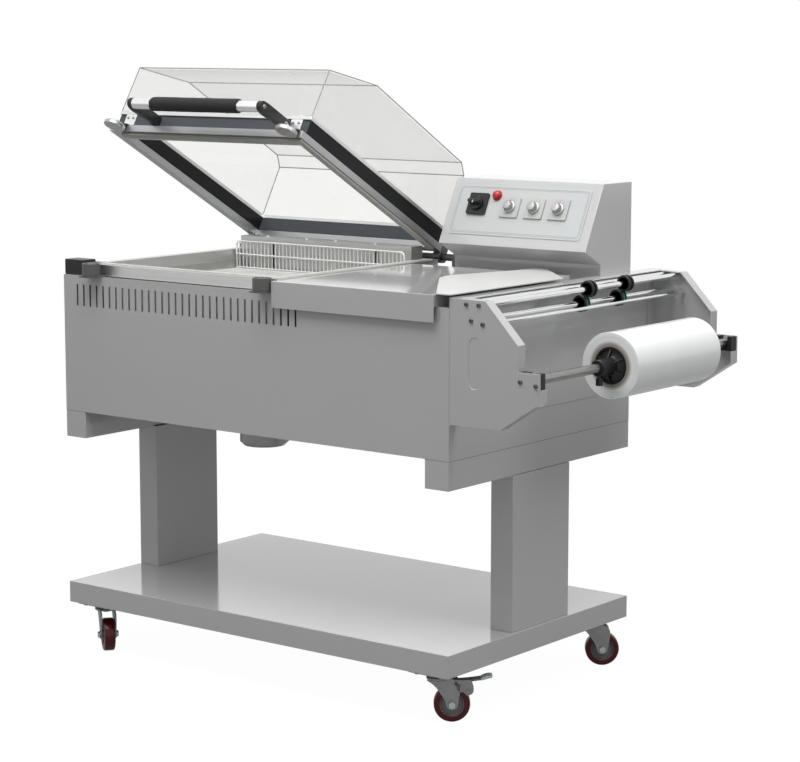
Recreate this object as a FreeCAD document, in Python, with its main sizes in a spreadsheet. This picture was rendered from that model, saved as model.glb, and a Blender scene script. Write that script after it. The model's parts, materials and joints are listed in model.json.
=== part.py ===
"""Hood-type shrink wrapping machine on castors, as separate pieces in millimetres."""
import FreeCAD, Part
import os
import re

import Sketcher

# Machine coordinates: x runs right from the cabinet's left face, y runs back from its
# front face and z runs up from the floor. Every finished piece is then moved so that
# the origin lies on the floor under the middle of the whole machine.

SIZES = (
    # stand
    ("shelf_left", 12), ("shelf_overhang", 10), ("shelf_front", -13), ("shelf_depth", 661),
    ("shelf_bottom", 108), ("shelf_height", 48), ("shelf_return", 120), ("shelf_lip", 30),
    ("sheet_wall", 2), ("post_width", 56), ("post_depth", 207), ("post_front", 219),
    ("post_inset", 12), ("post_overhang", 2), ("post_height", 332), ("beam_width", 60),
    ("beam_height", 60),
    ("beam_wall", 3), ("beam_cap", 2),
    # castors
    ("castor_inset_side", 63), ("castor_inset_end", 52), ("castor_trail", 27),
    ("wheel_diameter", 75), ("wheel_width", 25), ("axle_diameter", 10),
    ("plate_size", 88), ("plate_wall", 4), ("bolt_spacing", 62), ("bolt_head", 12),
    ("race_diameter", 52), ("race_height", 7), ("kingpin_diameter", 12), ("fork_wall", 3),
    ("fork_gap", 2), ("running_gap", 0.3), ("bore_gap", 0.05), ("crown_height", 8),
    ("crown_inset", 2), ("pin_head_height", 4), ("pin_overhang", 2), ("axle_overhang", 3),
    ("pedal_width", 24), ("pedal_reach", 34), ("pedal_drop", 15), ("pedal_pin", 5),
    # how far a cutting block runs past what it cuts
    ("past", 5),
    # cabinet and chamber
    ("cabinet_length", 1080), ("cabinet_depth", 660), ("cabinet_height", 308),
    ("vent_count", 33), ("vent_pitch", 20), ("vent_width", 5), ("vent_length", 48),
    ("vent_start", 40), ("vent_drop", 20), ("mouth_gap", 1), ("shaft_clear", 3),
    ("rim_left", 60), ("table_side", 456), ("rim_front", 12), ("rim_margin", 93),
    ("rim_height", 27), ("rim_bar", 33), ("rim_side", 22), ("tape_height", 2), ("tape_width", 16),
    ("tape_setback", 8), ("tape_inset", 4), ("tape_end", 20), ("block_gap", 2),
    ("liner_wall", 1.5), ("liner_depth", 236), ("liner_gap", 2), ("liner_flange", 13),
    ("ledge_width", 10), ("ledge_height", 5.5), ("grate_drop", 19),
    ("frame_wire", 4), ("fill_wire", 3), ("wire_pitch", 11.4), ("fence_gap", 20),
    ("fence_height", 66), ("fence_bend", 10), ("basket_gap", 5),
    ("duct_depth", 41.5), ("duct_height", 154), ("duct_drop", 96), ("inlet_spread", 157),
    ("inlet_width", 10), ("inlet_sill", 12),
    ("heater_diameter", 10), ("heater_drop", 136), ("heater_margin", 76), ("heater_pitch", 90),
    ("heater_row", 110), ("heater_step", 190), ("heater_tail", 22),
    ("motor_x", 340), ("motor_y", 290), ("motor_diameter", 98), ("motor_length", 142),
    ("motor_shaft", 12), ("motor_flange", 14), ("motor_foot", 4), ("shaft_spare", 10),
    ("cover_diameter", 112), ("cover_depth", 83), ("cover_flange", 10), ("cover_bevel", 9),
    ("impeller_diameter", 190), ("impeller_height", 34), ("impeller_lift", 10),
    ("impeller_hub", 20), ("hub_taper", 2), ("blade_count", 12), ("blade_length", 62),
    ("blade_half", 1), ("blade_inset", 2),
    ("magnet_left", 101), ("magnet_inset", 21), ("magnet_y", -14), ("magnet_radius", 20),
    ("magnet_height", 28), ("magnet_bracket", 3),
    ("block_length", 90), ("block_step", 58), ("block_front", 4), ("block_depth", 40),
    ("block_height", 34), ("block_low", 29),
    # hood, in its closed place: reach runs forward from the hinge, rise runs up from it
    ("hinge_inset", 70), ("hinge_height", 30), ("hood_open_angle", 29.5), ("hood_left", 62),
    ("hood_margin", 2), ("hood_back", 17), ("hood_lip", 13), ("hood_under", 5.2),
    ("hood_side", 20), ("hood_bar", 40), ("base_height", 16), ("band_height", 32),
    ("band_setback", 15), ("strip_height", 8), ("cover_setback", 12), ("brow_setback", 16),
    ("cover_brow_rise", 175), ("crown_setback", 175), ("cover_crown_rise", 224),
    ("cover_tail", 43), ("cover_tail_rise", 220), ("cover_rear", 20), ("cover_rear_rise", 197),
    ("cover_wall", 4), ("pad_gap", 0.3), ("disc_radius", 24),
    ("disc_height", 10), ("strap_width", 20), ("strap_wall", 6), ("strap_past", 8),
    ("pad_end", 24), ("arm_drop", 29),
    ("handle_gap", 77), ("handle_rise", 35), ("handle_diameter", 24), ("handle_inset", 131),
    ("handle_end", 66), ("grip_inset", 55), ("grip_end", 57), ("grip_diameter", 31),
    ("arm_wall", 12), ("bracket_width", 31), ("bracket_inset", 22), ("bracket_wall", 2.5),
    ("bracket_drop", 26), ("bracket_rise", 2), ("link_drop", 8),
    ("hinge_shaft", 16), ("hinge_start", 22), ("hinge_reach", 68), ("hub_radius", 14),
    ("bearing_width", 30), ("bearing_depth", 40), ("bearing_top", 10), ("bearing_out", 2),
    # packing table and control box
    ("table_gap", 2), ("table_inset", 30), ("table_front", -12), ("table_margin", 193),
    ("table_height", 25), ("apron_drop", 31), ("guide_wall", 3), ("guide_overlap", 2),
    ("guide_edge", 3), ("guide_front", -6), ("guide_corner", 8),
    ("box_depth", 119), ("box_shoulder", 43), ("chin_depth", 180),
    ("box_chin", 74.5), ("crest_depth", 110), ("box_height", 216),
    ("panel_inset", 18), ("panel_length", 350), ("panel_start", 16), ("panel_width", 118),
    ("panel_wall", 1.5), ("panel_corner", 8), ("switch_inset", 62), ("switch_s", 62),
    ("switch_size", 50), ("switch_wall", 6), ("switch_knob", 32), ("switch_disc", 6),
    ("switch_bar", 10), ("switch_grip", 18), ("lamp_inset", 107),
    ("lamp_s", 40), ("lamp_radius", 12), ("lamp_ring", 3), ("dial_inset", 150),
    ("dial_pitch", 64), ("dial_s", 66), ("dial_size", 48), ("dial_wall", 4),
    ("knob_diameter", 28), ("knob_height", 15), ("knob_taper", 3), ("bar_inset", 1),
    ("spindle_diameter", 6), ("spindle_length", 12),
    # film unit
    ("back_wall", 2), ("unit_depth", 750), ("unit_wall", 2.5), ("unit_flange", 25),
    ("back_drop", 238), ("back_flange", 36), ("guide_rod", 14), ("guide_rod_out", 40),
    ("rod_rise", 10), ("pin_rod", 12), ("pin_rod_out", 70),
    ("counter_out", 52), ("counter_drop", 31.5), ("wheel_radius", 18), ("disc_wall", 4),
    ("wheel_hub", 13), ("wheel_span", 16), ("first_wheel", 387), ("wheel_step", 140),
    ("thin_rod", 8), ("thin_rod_out", 80), ("thin_rod_drop", 37), ("unit_clear", 1.5),
    ("film_out", 193), ("film_drop", 129), ("film_shaft", 20), ("roll_radius", 68),
    ("roll_start", 282), ("roll_length", 321), ("core_radius", 42), ("core_wall", 4),
    ("shaft_block", 20), ("block_inward", 30), ("block_outward", 20.5), ("block_half", 16),
    ("hub_length", 26), ("neck_length", 48), ("neck_wall", 7), ("lock_reach", 36),
    ("lock_head", 8), ("lock_height", 14), ("lock_screw", 3), ("lock_setback", 8),
    ("slot_out", 61), ("slot_drop", 105.5), ("slot_radius", 15), ("slot_length", 103),
    ("slot_recess", 1),
    ("plate_rise", 5), ("plate_foot", 122), ("plate_toe", 26), ("plate_neck", 51),
    ("plate_step", 1), ("plate_brow", 86), ("plate_fall", 2), ("notch_gap", 0.5),
    ("disc_gap", 0.2), ("cord_radius", 2), ("cord_gap", 0.1), ("plug_gap", 0.1),
    ("screw_head", 9), ("screw_height", 3), ("screw_inset", 7), ("screw_drop", 3),
    ("screw_low", 8),
)

# Sizes that follow others, so that a change of one of those carries them along.
FOLLOWERS = (
    ("shelf_length", "cabinet_length + shelf_overhang - shelf_left"),
    ("deck_top", "shelf_bottom + shelf_height + post_height + beam_height + cabinet_height"),
    ("rim_right", "cabinet_length - table_side"),
    ("rim_back", "cabinet_depth - rim_margin"),
    ("rim_top", "deck_top + rim_height"),
    ("grate_level", "deck_top - grate_drop"),
    ("duct_front", "rim_back - rim_side - liner_gap - liner_wall - duct_depth"),
    ("duct_bottom", "deck_top - duct_drop"),
    ("fence_back", "duct_front - fence_gap"),
    ("heater_level", "deck_top - heater_drop"),
    ("magnet_right", "rim_right - magnet_inset"),
    ("hinge_y", "cabinet_depth - hinge_inset"),
    ("hinge_z", "deck_top + hinge_height"),
    ("hood_width", "rim_right - hood_margin - hood_left"),
    ("hood_front", "hinge_y - hood_lip"),
    ("cover_front", "hood_front - cover_setback"),
    ("cover_brow", "hood_front - brow_setback"),
    ("cover_crown", "hood_front - crown_setback"),
    ("disc_reach", "hinge_y - magnet_y"),
    ("handle_reach", "hood_front + handle_gap"),
    ("handle_start", "hood_left + handle_inset"),
    ("handle_length", "hood_width - handle_inset - handle_end"),
    ("grip_start", "handle_start + grip_inset"),
    ("grip_length", "handle_length - grip_inset - grip_end"),
    ("box_left", "hood_left + hood_width + hinge_reach"),
    ("hinge_length", "box_left - hinge_start"),
    ("table_left", "rim_right + table_gap"),
    ("table_right", "cabinet_length - table_inset"),
    ("table_back", "cabinet_depth - table_margin"),
    ("table_top", "deck_top + table_height"),
    ("apron_bottom", "deck_top - apron_drop"),
    ("box_front", "cabinet_depth - box_depth"),
    ("box_lean", "cabinet_depth - chin_depth"),
    ("box_crest", "cabinet_depth - crest_depth"),
    ("panel_left", "box_left + panel_inset"),
    ("switch_x", "panel_left + switch_inset"),
    ("lamp_x", "panel_left + lamp_inset"),
    ("dial_first", "panel_left + dial_inset"),
    ("unit_left", "cabinet_length + back_wall"),
    ("back_bottom", "deck_top - back_drop"),
    ("rod_line", "deck_top + rod_rise"),
    ("guide_rod_x", "unit_left + guide_rod_out"),
    ("pin_rod_x", "unit_left + pin_rod_out"),
    ("counter_x", "unit_left + counter_out"),
    ("counter_z", "rod_line - counter_drop"),
    ("thin_rod_x", "unit_left + thin_rod_out"),
    ("thin_rod_z", "rod_line - thin_rod_drop"),
    ("film_x", "unit_left + film_out"),
    ("film_z", "deck_top - film_drop"),
    ("block_left", "film_x - block_inward"),
    ("block_right", "film_x + block_outward"),
    ("block_bottom", "film_z - block_half"),
    ("block_top", "film_z + block_half"),
    ("slot_x", "unit_left + slot_out"),
    ("slot_z", "deck_top - slot_drop"),
)

doc = FreeCAD.newDocument("shrink_wrapper")
sheet = doc.addObject("Spreadsheet::Sheet", "Sizes")
for row, (alias, value) in enumerate(SIZES + FOLLOWERS, start=1):
    sheet.set(f"A{row}", alias)
    sheet.setAlias(f"B{row}", alias)
    sheet.set(f"B{row}", f"={value}")
doc.recompute()

ALIASES = {alias for alias, _ in SIZES + FOLLOWERS}

# Free edge of the film guide plate: how far in from the table's right edge, and where from
# its back edge.
GUIDE_EDGE = ((173, "- 231"), (185, "- 199"), (185, "- 167"), (141, "- 12"), (128, "+ 63"),
              (104, "+ 63"))
GUIDE_EDGE_END = "- 75"

# Side outlines: the castor fork (reach from the king pin and drop from the fork's top, then
# reach and rise from the axle), the brake pedal and the handle arm's nose.
FORK_HEAD = ((-22, 8), (-22, 4), (24, 4), (40, 9))
FORK_FOOT = ((16, 34), (13, 4), (9, -9), (-9, -9), (-14, 6))
PEDAL_SIDE = ((30, -18), (58, -16), (108, -4), (109, 1), (60, -10), (30, -11.5))
ARM_NOSE = ((13, 12), (-9, 12), (-13, 0), (-5, -13), (17, -20))
NODES = []

# Places that several pieces share, written once as formulas of the sheet's sizes.
SHELF_TOP = "(shelf_bottom + shelf_height)"
BEAM_BOTTOM = f"({SHELF_TOP} + post_height)"
CABINET_BOTTOM = f"({BEAM_BOTTOM} + beam_height)"
DECK = "deck_top"
LINER_LEFT = "(rim_left + rim_side + liner_gap)"
LINER_RIGHT = "(rim_right - rim_side - liner_gap)"
LINER_FRONT = "(rim_front + rim_bar + liner_gap)"
LINER_BACK = "(rim_back - rim_side - liner_gap)"
LINER_FLOOR = f"({DECK} - liner_depth)"
LIP_TOP = f"({DECK} + liner_wall)"
UNIT_TOP = "(rod_line + guide_rod / 2 + unit_wall + unit_clear)"


def named(formula):
    """Write a formula of aliases as one that the document can work out."""
    return re.sub(r"[a-z_]+", lambda word: f"Sizes.{word[0]}" if word[0] in ALIASES else word[0],
                  str(formula))


def number(formula):
    """Value of a formula in plain numbers."""
    words = {alias: float(sheet.get(alias)) for alias in ALIASES if alias in str(formula)}
    for word in sorted(words, key=len, reverse=True):
        formula = re.sub(rf"\b{word}\b", str(words[word]), str(formula))
    return float(FreeCAD.Units.Quantity(str(formula)).Value)


def bind(thing, **formulas):
    for name, formula in formulas.items():
        thing.setExpression(name.replace("__", "."), named(formula))
    return thing


def at(thing, x, y, z):
    return bind(thing, Placement__Base__x=x, Placement__Base__y=y, Placement__Base__z=z)


def box(name, x, y, z, length, width, height):
    thing = doc.addObject("Part::Box", name)
    bind(thing, Length=length, Width=width, Height=height)
    return at(thing, x, y, z)


TURNS = {"x": ((0, 1, 0), 90), "y": ((1, 0, 0), -90), "z": ((0, 0, 1), 0)}


def rod(name, x, y, z, radius, length, along="z"):
    thing = doc.addObject("Part::Cylinder", name)
    axis, angle = TURNS[along]
    thing.Placement.Rotation = FreeCAD.Rotation(FreeCAD.Vector(*axis), angle)
    bind(thing, Radius=radius, Height=length)
    return at(thing, x, y, z)


def ring(name, x, y, z, middle_radius, wire_radius, along="z", sweep=360, start=0):
    """Torus, or an arc of one, round an axis."""
    thing = doc.addObject("Part::Torus", name)
    axis, angle = TURNS[along]
    turn = FreeCAD.Rotation(FreeCAD.Vector(*axis), angle)
    thing.Placement.Rotation = turn * FreeCAD.Rotation(FreeCAD.Vector(0, 0, 1), start)
    thing.Angle3 = sweep
    bind(thing, Radius1=middle_radius, Radius2=wire_radius)
    return at(thing, x, y, z)


def cut(name, base, tool):
    thing = doc.addObject("Part::Cut", name)
    thing.Base = base
    thing.Tool = tool
    return thing


def join(name, *pieces):
    thing = doc.addObject("Part::MultiFuse", name)
    thing.Shapes = list(pieces)
    return thing


def group(name, *pieces):
    """Separate solids kept in one place."""
    thing = doc.addObject("Part::Compound", name)
    thing.Links = list(pieces)
    return thing


def tube(name, x, y, z, radius, bore, length, along="z"):
    bar = rod(f"{name}_bar", x, y, z, radius, length, along)
    hole = rod(f"{name}_hole", x, y, z, bore, length, along)
    return cut(name, bar, hole)


def outline(body, plane, name, corners):
    """Closed sketch of straight lines whose corners follow the sheet."""
    sketch = body.newObject("Sketcher::SketchObject", name)
    sketch.AttachmentSupport = ([p for p in body.Origin.OriginFeatures if p.Role == plane][0], [""])
    sketch.MapMode = "FlatFace"
    points = [FreeCAD.Vector(number(across), number(up), 0) for across, up in corners]
    for index, point in enumerate(points):
        sketch.addGeometry(Part.LineSegment(point, points[(index + 1) % len(points)]), False)
    for index in range(len(points)):
        sketch.addConstraint(Sketcher.Constraint("Coincident", index, 2, (index + 1) % len(points), 1))
    for index, (across, up) in enumerate(corners):
        for kind, formula in (("DistanceX", across), ("DistanceY", up)):
            rule = Sketcher.Constraint(kind, -1, 1, index, 1, number(formula))
            sketch.setExpression(f"Constraints[{sketch.addConstraint(rule)}]", named(formula))
    return sketch


def slab(name, plane, corners, length, reverse=False, middle=False):
    """Body with one pad of an outline."""
    body = doc.addObject("PartDesign::Body", name)
    pad = body.newObject("PartDesign::Pad", f"{name}_pad")
    pad.Profile = outline(body, plane, f"{name}_outline", corners)
    pad.Reversed = reverse
    pad.Midplane = middle
    bind(pad, Length=length)
    doc.recompute()
    return body, pad


def turned(name, section):
    """Body turned about its own z axis from half of its section."""
    body = doc.addObject("PartDesign::Body", name)
    round_body = body.newObject("PartDesign::Revolution", f"{name}_turn")
    round_body.Profile = outline(body, "XZ_Plane", f"{name}_section", section)
    z_axis = [f for f in body.Origin.OriginFeatures if f.Role == "Z_Axis"][0]
    round_body.ReferenceAxis = (z_axis, [""])
    round_body.Angle = 360
    doc.recompute()
    return body, z_axis


def hollow(body, pad, direction, wall):
    """Leave a wall inside the pad's faces and take away the face that looks one way."""
    look = FreeCAD.Vector(*direction)
    open_face = [f"Face{i}" for i, face in enumerate(pad.Shape.Faces, start=1)
                 if face.normalAt(0, 0).dot(look) > 0.99]
    shell = body.newObject("PartDesign::Thickness", f"{body.Name}_shell")
    shell.Base = (pad, open_face)
    shell.Join = 1
    shell.Reversed = True
    bind(shell, Value=wall)
    body.Tip = shell
    return body


def place(thing, x="0", y="0", z="0", axis=None, angle="0", turn=None):
    """Put a finished piece in the machine, measured from the origin on the floor."""
    if axis:
        thing.Placement.Rotation = FreeCAD.Rotation(FreeCAD.Vector(*axis), 1)
        bind(thing, Placement__Rotation__Angle=angle)
    if turn:
        thing.Placement.Rotation = turn
    return at(thing, f"{x} - (film_x + roll_radius) / 2",
              f"{y} - (unit_depth + magnet_y - magnet_radius) / 2", z)


def node(name, thing, **where):
    thing.Label = name
    place(thing, **where)
    NODES.append(thing)
    return thing


def hood_node(name, thing, x="0"):
    return node(name, thing, x=x, y="hinge_y", z="hinge_z", axis=(-1, 0, 0),
                angle="hood_open_angle")


def panel_node(name, thing):
    """Piece on the sloping panel: x right, y up the slope and z outward from its top edge."""
    return node(name, thing, y="box_crest", z=f"{DECK} + box_height", axis=(1, 0, 0),
                angle="atan2(box_height - box_chin; box_crest - box_lean)")


def tray_shelf():
    """Bottom shelf: a sheet tray, open below, with returns that carry the castors."""
    inner_length = "shelf_length - 2 * sheet_wall"
    tray = cut("shelf_shell",
               box("shelf_block", "shelf_left", "shelf_front", "shelf_bottom",
                   "shelf_length", "shelf_depth", "shelf_height"),
               box("shelf_space", "shelf_left + sheet_wall", "shelf_front + sheet_wall",
                   "shelf_bottom + sheet_wall", inner_length, "shelf_depth - 2 * sheet_wall",
                   "shelf_height - 2 * sheet_wall"))
    mouth = box("shelf_mouth", "shelf_left + shelf_return", "shelf_front + shelf_lip",
                "shelf_bottom - 1", "shelf_length - 2 * shelf_return", "shelf_depth - 2 * shelf_lip",
                "sheet_wall + 2")
    node("base_shelf", cut("base_tray", tray, mouth))


def posts_and_beams():
    right_post = "(cabinet_length + post_overhang - post_width)"
    posts = []
    for side, x in (("left", "post_inset"), ("right", right_post)):
        posts.append(cut(f"post_{side}",
                         box(f"post_bar_{side}", x, "post_front", SHELF_TOP, "post_width",
                             "post_depth", "post_height"),
                         box(f"post_bore_{side}", f"{x} + sheet_wall", "post_front + sheet_wall",
                             SHELF_TOP, "post_width - 2 * sheet_wall",
                             "post_depth - 2 * sheet_wall", "post_height")))
    beams = []
    caps = []
    for side, x in (("left", "0"), ("right", "cabinet_length - beam_width")):
        beams.append(cut(f"beam_{side}",
                         box(f"beam_bar_{side}", x, "beam_cap", BEAM_BOTTOM, "beam_width",
                             "cabinet_depth - 2 * beam_cap", "beam_height"),
                         box(f"beam_bore_{side}", f"{x} + beam_wall", "beam_cap",
                             f"{BEAM_BOTTOM} + beam_wall", "beam_width - 2 * beam_wall",
                             "cabinet_depth - 2 * beam_cap", "beam_height - 2 * beam_wall")))
        for end, y in (("front", "0"), ("rear", "cabinet_depth - beam_cap")):
            caps.append(box(f"cap_{side}_{end}", x, y, BEAM_BOTTOM, "beam_width", "beam_cap",
                            "beam_height"))
    node("stand_frame", group("frame_pieces", *posts, *beams, *caps))


def castors():
    """Four swivel castors under the shelf's corners; only the front right one has a brake."""
    left = "(shelf_left + castor_inset_side)"
    right = "(shelf_left + shelf_length - castor_inset_side)"
    front = "(shelf_front + castor_inset_end)"
    rear = "(shelf_front + shelf_depth - castor_inset_end)"
    places = {"front_left": (left, front, -37), "front_right": (right, front, 38),
              "rear_left": (left, rear, 150), "rear_right": (right, rear, 38)}
    race_bottom = "(shelf_bottom - plate_wall - race_height)"
    fork_top = f"({race_bottom} - running_gap)"
    axle_z = "(wheel_diameter / 2)"
    inside = "(wheel_width / 2 + fork_gap)"
    outside = f"({inside} + fork_wall)"
    plates = []
    bolts = []
    for corner, (x, y, _) in places.items():
        plate = box(f"plate_{corner}", f"{x} - plate_size / 2", f"{y} - plate_size / 2",
                    "shelf_bottom - plate_wall", "plate_size", "plate_size", "plate_wall")
        race = rod(f"race_{corner}", x, y, race_bottom, "race_diameter / 2", "race_height")
        pin = rod(f"kingpin_{corner}", x, y, f"{fork_top} - crown_height - pin_overhang",
                  "kingpin_diameter / 2",
                  "race_height + crown_height + pin_overhang + running_gap")
        head = rod(f"kingpin_head_{corner}", x, y, f"{fork_top} - crown_height - pin_head_height",
                   "kingpin_diameter * 0.8", "pin_head_height - running_gap")
        plates.append(join(f"castor_top_{corner}", plate, race, pin, head))
        for step_x in (-1, 1):
            for step_y in (-1, 1):
                bolts.append(rod(f"bolt_{corner}_{step_x + 1}{step_y + 1}",
                                 f"{x} + {step_x} * bolt_spacing / 2",
                                 f"{y} + {step_y} * bolt_spacing / 2",
                                 "shelf_bottom - 2 * plate_wall", "bolt_head / 2", "plate_wall"))
    node("castor_plates", group("castor_tops", *plates, *bolts))
    fork_side = (*((str(reach), f"{fork_top} - {drop}") for reach, drop in FORK_HEAD),
                 *((f"castor_trail + {reach}", f"{axle_z} + {rise}") for reach, rise in FORK_FOOT))
    for corner, (x, y, yaw) in places.items():
        turn = FreeCAD.Rotation(FreeCAD.Vector(0, 0, 1), yaw)
        cheeks, _ = slab(f"cheeks_{corner}", "XZ_Plane", fork_side, f"2 * {outside}", middle=True)
        gap = box(f"fork_gap_{corner}", "-wheel_diameter", f"-{inside}", "0", "2 * wheel_diameter",
                  f"2 * {inside}", f"{fork_top} - crown_height")
        crown = rod(f"crown_{corner}", "0", "0", f"{fork_top} - crown_height",
                    "race_diameter / 2 - crown_inset", "crown_height")
        blank = join(f"fork_blank_{corner}", cut(f"legs_{corner}", cheeks, gap), crown)
        bore = rod(f"fork_bore_{corner}", "0", "0", f"{fork_top} - crown_height - past",
                   "kingpin_diameter / 2 + bore_gap", "crown_height + 2 * past")
        axle = rod(f"axle_{corner}", "castor_trail", f"-{outside} - axle_overhang", axle_z,
                   "axle_diameter / 2", f"2 * {outside} + 2 * axle_overhang", "y")
        holes = group(f"fork_holes_{corner}", bore,
                      rod(f"pivot_bore_{corner}", "pedal_reach", f"-{outside} - past",
                          f"{fork_top} - pedal_drop", "pedal_pin / 2 + bore_gap",
                          f"2 * {outside} + 2 * past", "y"))
        fork = join(f"fork_{corner}", cut(f"drilled_{corner}", blank, holes), axle)
        node(f"castor_fork_{corner}", fork, x=x, y=y, turn=turn)
        wheel = tube(f"wheel_{corner}", "castor_trail", "-wheel_width / 2", axle_z,
                     "wheel_diameter / 2", "axle_diameter / 2 + bore_gap", "wheel_width", "y")
        node(f"castor_wheel_{corner}", wheel, x=x, y=y, turn=turn)
    x, y, yaw = places["front_right"]
    lever, _ = slab("pedal_lever", "XZ_Plane",
                    [(str(reach), f"{fork_top} + {rise}") for reach, rise in PEDAL_SIDE],
                    "pedal_width", middle=True)
    pivot = rod("pedal_pivot", "pedal_reach", f"-{outside}", f"{fork_top} - pedal_drop",
                "pedal_pin / 2", f"2 * {outside}", "y")
    node("brake_pedal", join("pedal", lever, pivot), x=x, y=y,
         turn=FreeCAD.Rotation(FreeCAD.Vector(0, 0, 1), yaw))


def cabinet():
    """Sheet cabinet: one shell with vents and a chamber opening, and a separate floor."""
    wall = "sheet_wall"
    shell = cut("cabinet_box",
                box("cabinet_block", "0", "0", CABINET_BOTTOM, "cabinet_length", "cabinet_depth",
                    "cabinet_height"),
                box("cabinet_space", wall, wall, f"{CABINET_BOTTOM} - 1",
                    f"cabinet_length - 2 * {wall}", f"cabinet_depth - 2 * {wall}",
                    f"cabinet_height - {wall} + 1"))
    vents = [box(f"vent_{i}", f"vent_start + {i} * vent_pitch", "-1",
                 f"{DECK} - vent_drop - vent_length", "vent_width", f"{wall} + 2", "vent_length")
             for i in range(int(number("vent_count")))]
    mouth = box("chamber_mouth", f"{LINER_LEFT} - mouth_gap", f"{LINER_FRONT} - mouth_gap",
                f"{DECK} - past", f"{LINER_RIGHT} - {LINER_LEFT} + 2 * mouth_gap",
                f"{LINER_BACK} - {LINER_FRONT} + 2 * mouth_gap", "2 * past")
    node("cabinet_shell", cut("cabinet", shell, group("cabinet_cuts", mouth, *vents)))
    plate = box("floor_plate", wall, wall, CABINET_BOTTOM, f"cabinet_length - 2 * {wall}",
                f"cabinet_depth - 2 * {wall}", wall)
    hole = rod("motor_hole", "motor_x", "motor_y", f"{CABINET_BOTTOM} - past",
               "motor_diameter / 2 + shaft_clear", "3 * past")
    node("cabinet_floor", cut("floor_with_hole", plate, hole))


def chamber():
    """Heated chamber: hanging liner, rim, sealing tape, basket, air duct, heaters and blower."""
    length = f"{LINER_RIGHT} - {LINER_LEFT}"
    width = f"{LINER_BACK} - {LINER_FRONT}"
    wall = "liner_wall"
    tub = box("tub_block", LINER_LEFT, LINER_FRONT, LINER_FLOOR, length, width, "liner_depth")
    flange = box("tub_flange", f"{LINER_LEFT} - liner_flange", f"{LINER_FRONT} - liner_flange",
                 DECK, f"{length} + 2 * liner_flange", f"{width} + 2 * liner_flange", wall)
    hollow_space = box("tub_space", f"{LINER_LEFT} + {wall}", f"{LINER_FRONT} + {wall}",
                       f"{LINER_FLOOR} + {wall}", f"{length} - 2 * {wall}",
                       f"{width} - 2 * {wall}", "liner_depth + past")
    shaft_hole = rod("shaft_hole", "motor_x", "motor_y", f"{LINER_FLOOR} - past",
                     "motor_shaft / 2 + shaft_clear", "3 * past")
    rear_rows = [f"{LINER_FRONT} + heater_row", f"{LINER_FRONT} + heater_row + heater_step"]
    heater_holes = [rod(f"heater_hole_{i}{k}", f"{LINER_RIGHT} - past", f"{y} + {k} * heater_pitch",
                        "heater_level", "heater_diameter / 2 + running_gap", "2 * past", "x")
                    for i, y in enumerate(rear_rows) for k in range(2)]
    shell = cut("tub", join("tub_blank", tub, flange),
                group("tub_cuts", hollow_space, shaft_hole, *heater_holes))
    ledge_z = "grate_level - frame_wire / 2 - ledge_height"
    ledge_length = f"duct_front - {LINER_FRONT} - {wall}"
    ledges = [box(f"ledge_{side}", x, f"{LINER_FRONT} + {wall}", ledge_z, "ledge_width",
                  ledge_length, "ledge_height")
              for side, x in (("left", f"{LINER_LEFT} + {wall}"),
                              ("right", f"{LINER_RIGHT} - {wall} - ledge_width"))]
    node("chamber_liner", join("liner", shell, *ledges))

    rim = cut("rim_ring",
              box("rim_block", "rim_left", "rim_front", LIP_TOP, "rim_right - rim_left",
                  "rim_back - rim_front", f"rim_top - {LIP_TOP}"),
              group("rim_cuts",
                    box("rim_mouth", "rim_left + rim_side", "rim_front + rim_bar",
                        f"{DECK} - past", "rim_right - rim_left - 2 * rim_side",
                        "rim_back - rim_front - rim_bar - rim_side", "rim_height + 2 * past"),
                    box("rim_corner", "rim_left - past", "rim_front - past", f"{DECK} - past",
                        "block_length + block_gap - rim_left + past",
                        "rim_bar + mouth_gap + past", "rim_height + 2 * past")))
    node("chamber_rim", rim)
    tape_y = "(rim_front + tape_setback)"
    tape_x = "(rim_right - tape_inset - tape_width)"
    node("sealing_tape", join("tape",
                              box("tape_front", "block_length + block_gap", tape_y, "rim_top",
                                  f"{tape_x} + tape_width - block_length - block_gap",
                                  "tape_width", "tape_height"),
                              box("tape_right", tape_x, tape_y, "rim_top", "tape_width",
                                  f"rim_back - tape_end - {tape_y}", "tape_height")))
    basket(wall)
    air_duct(wall)

    tubes = []
    run = f"{LINER_RIGHT} - {LINER_LEFT} - heater_margin + heater_tail"
    for i, y in enumerate(rear_rows):
        bend_x = f"({LINER_LEFT} + heater_margin)"
        tubes.append(join(f"heater_{i}",
                          rod(f"heater_run_{i}0", bend_x, y, "heater_level",
                              "heater_diameter / 2", run, "x"),
                          rod(f"heater_run_{i}1", bend_x, f"{y} + heater_pitch", "heater_level",
                              "heater_diameter / 2", run, "x"),
                          ring(f"heater_bend_{i}", bend_x, f"{y} + heater_pitch / 2",
                               "heater_level", "heater_pitch / 2", "heater_diameter / 2",
                               sweep=180, start=90)))
    node("heater_tubes", group("heaters", *tubes))
    blower()


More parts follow.
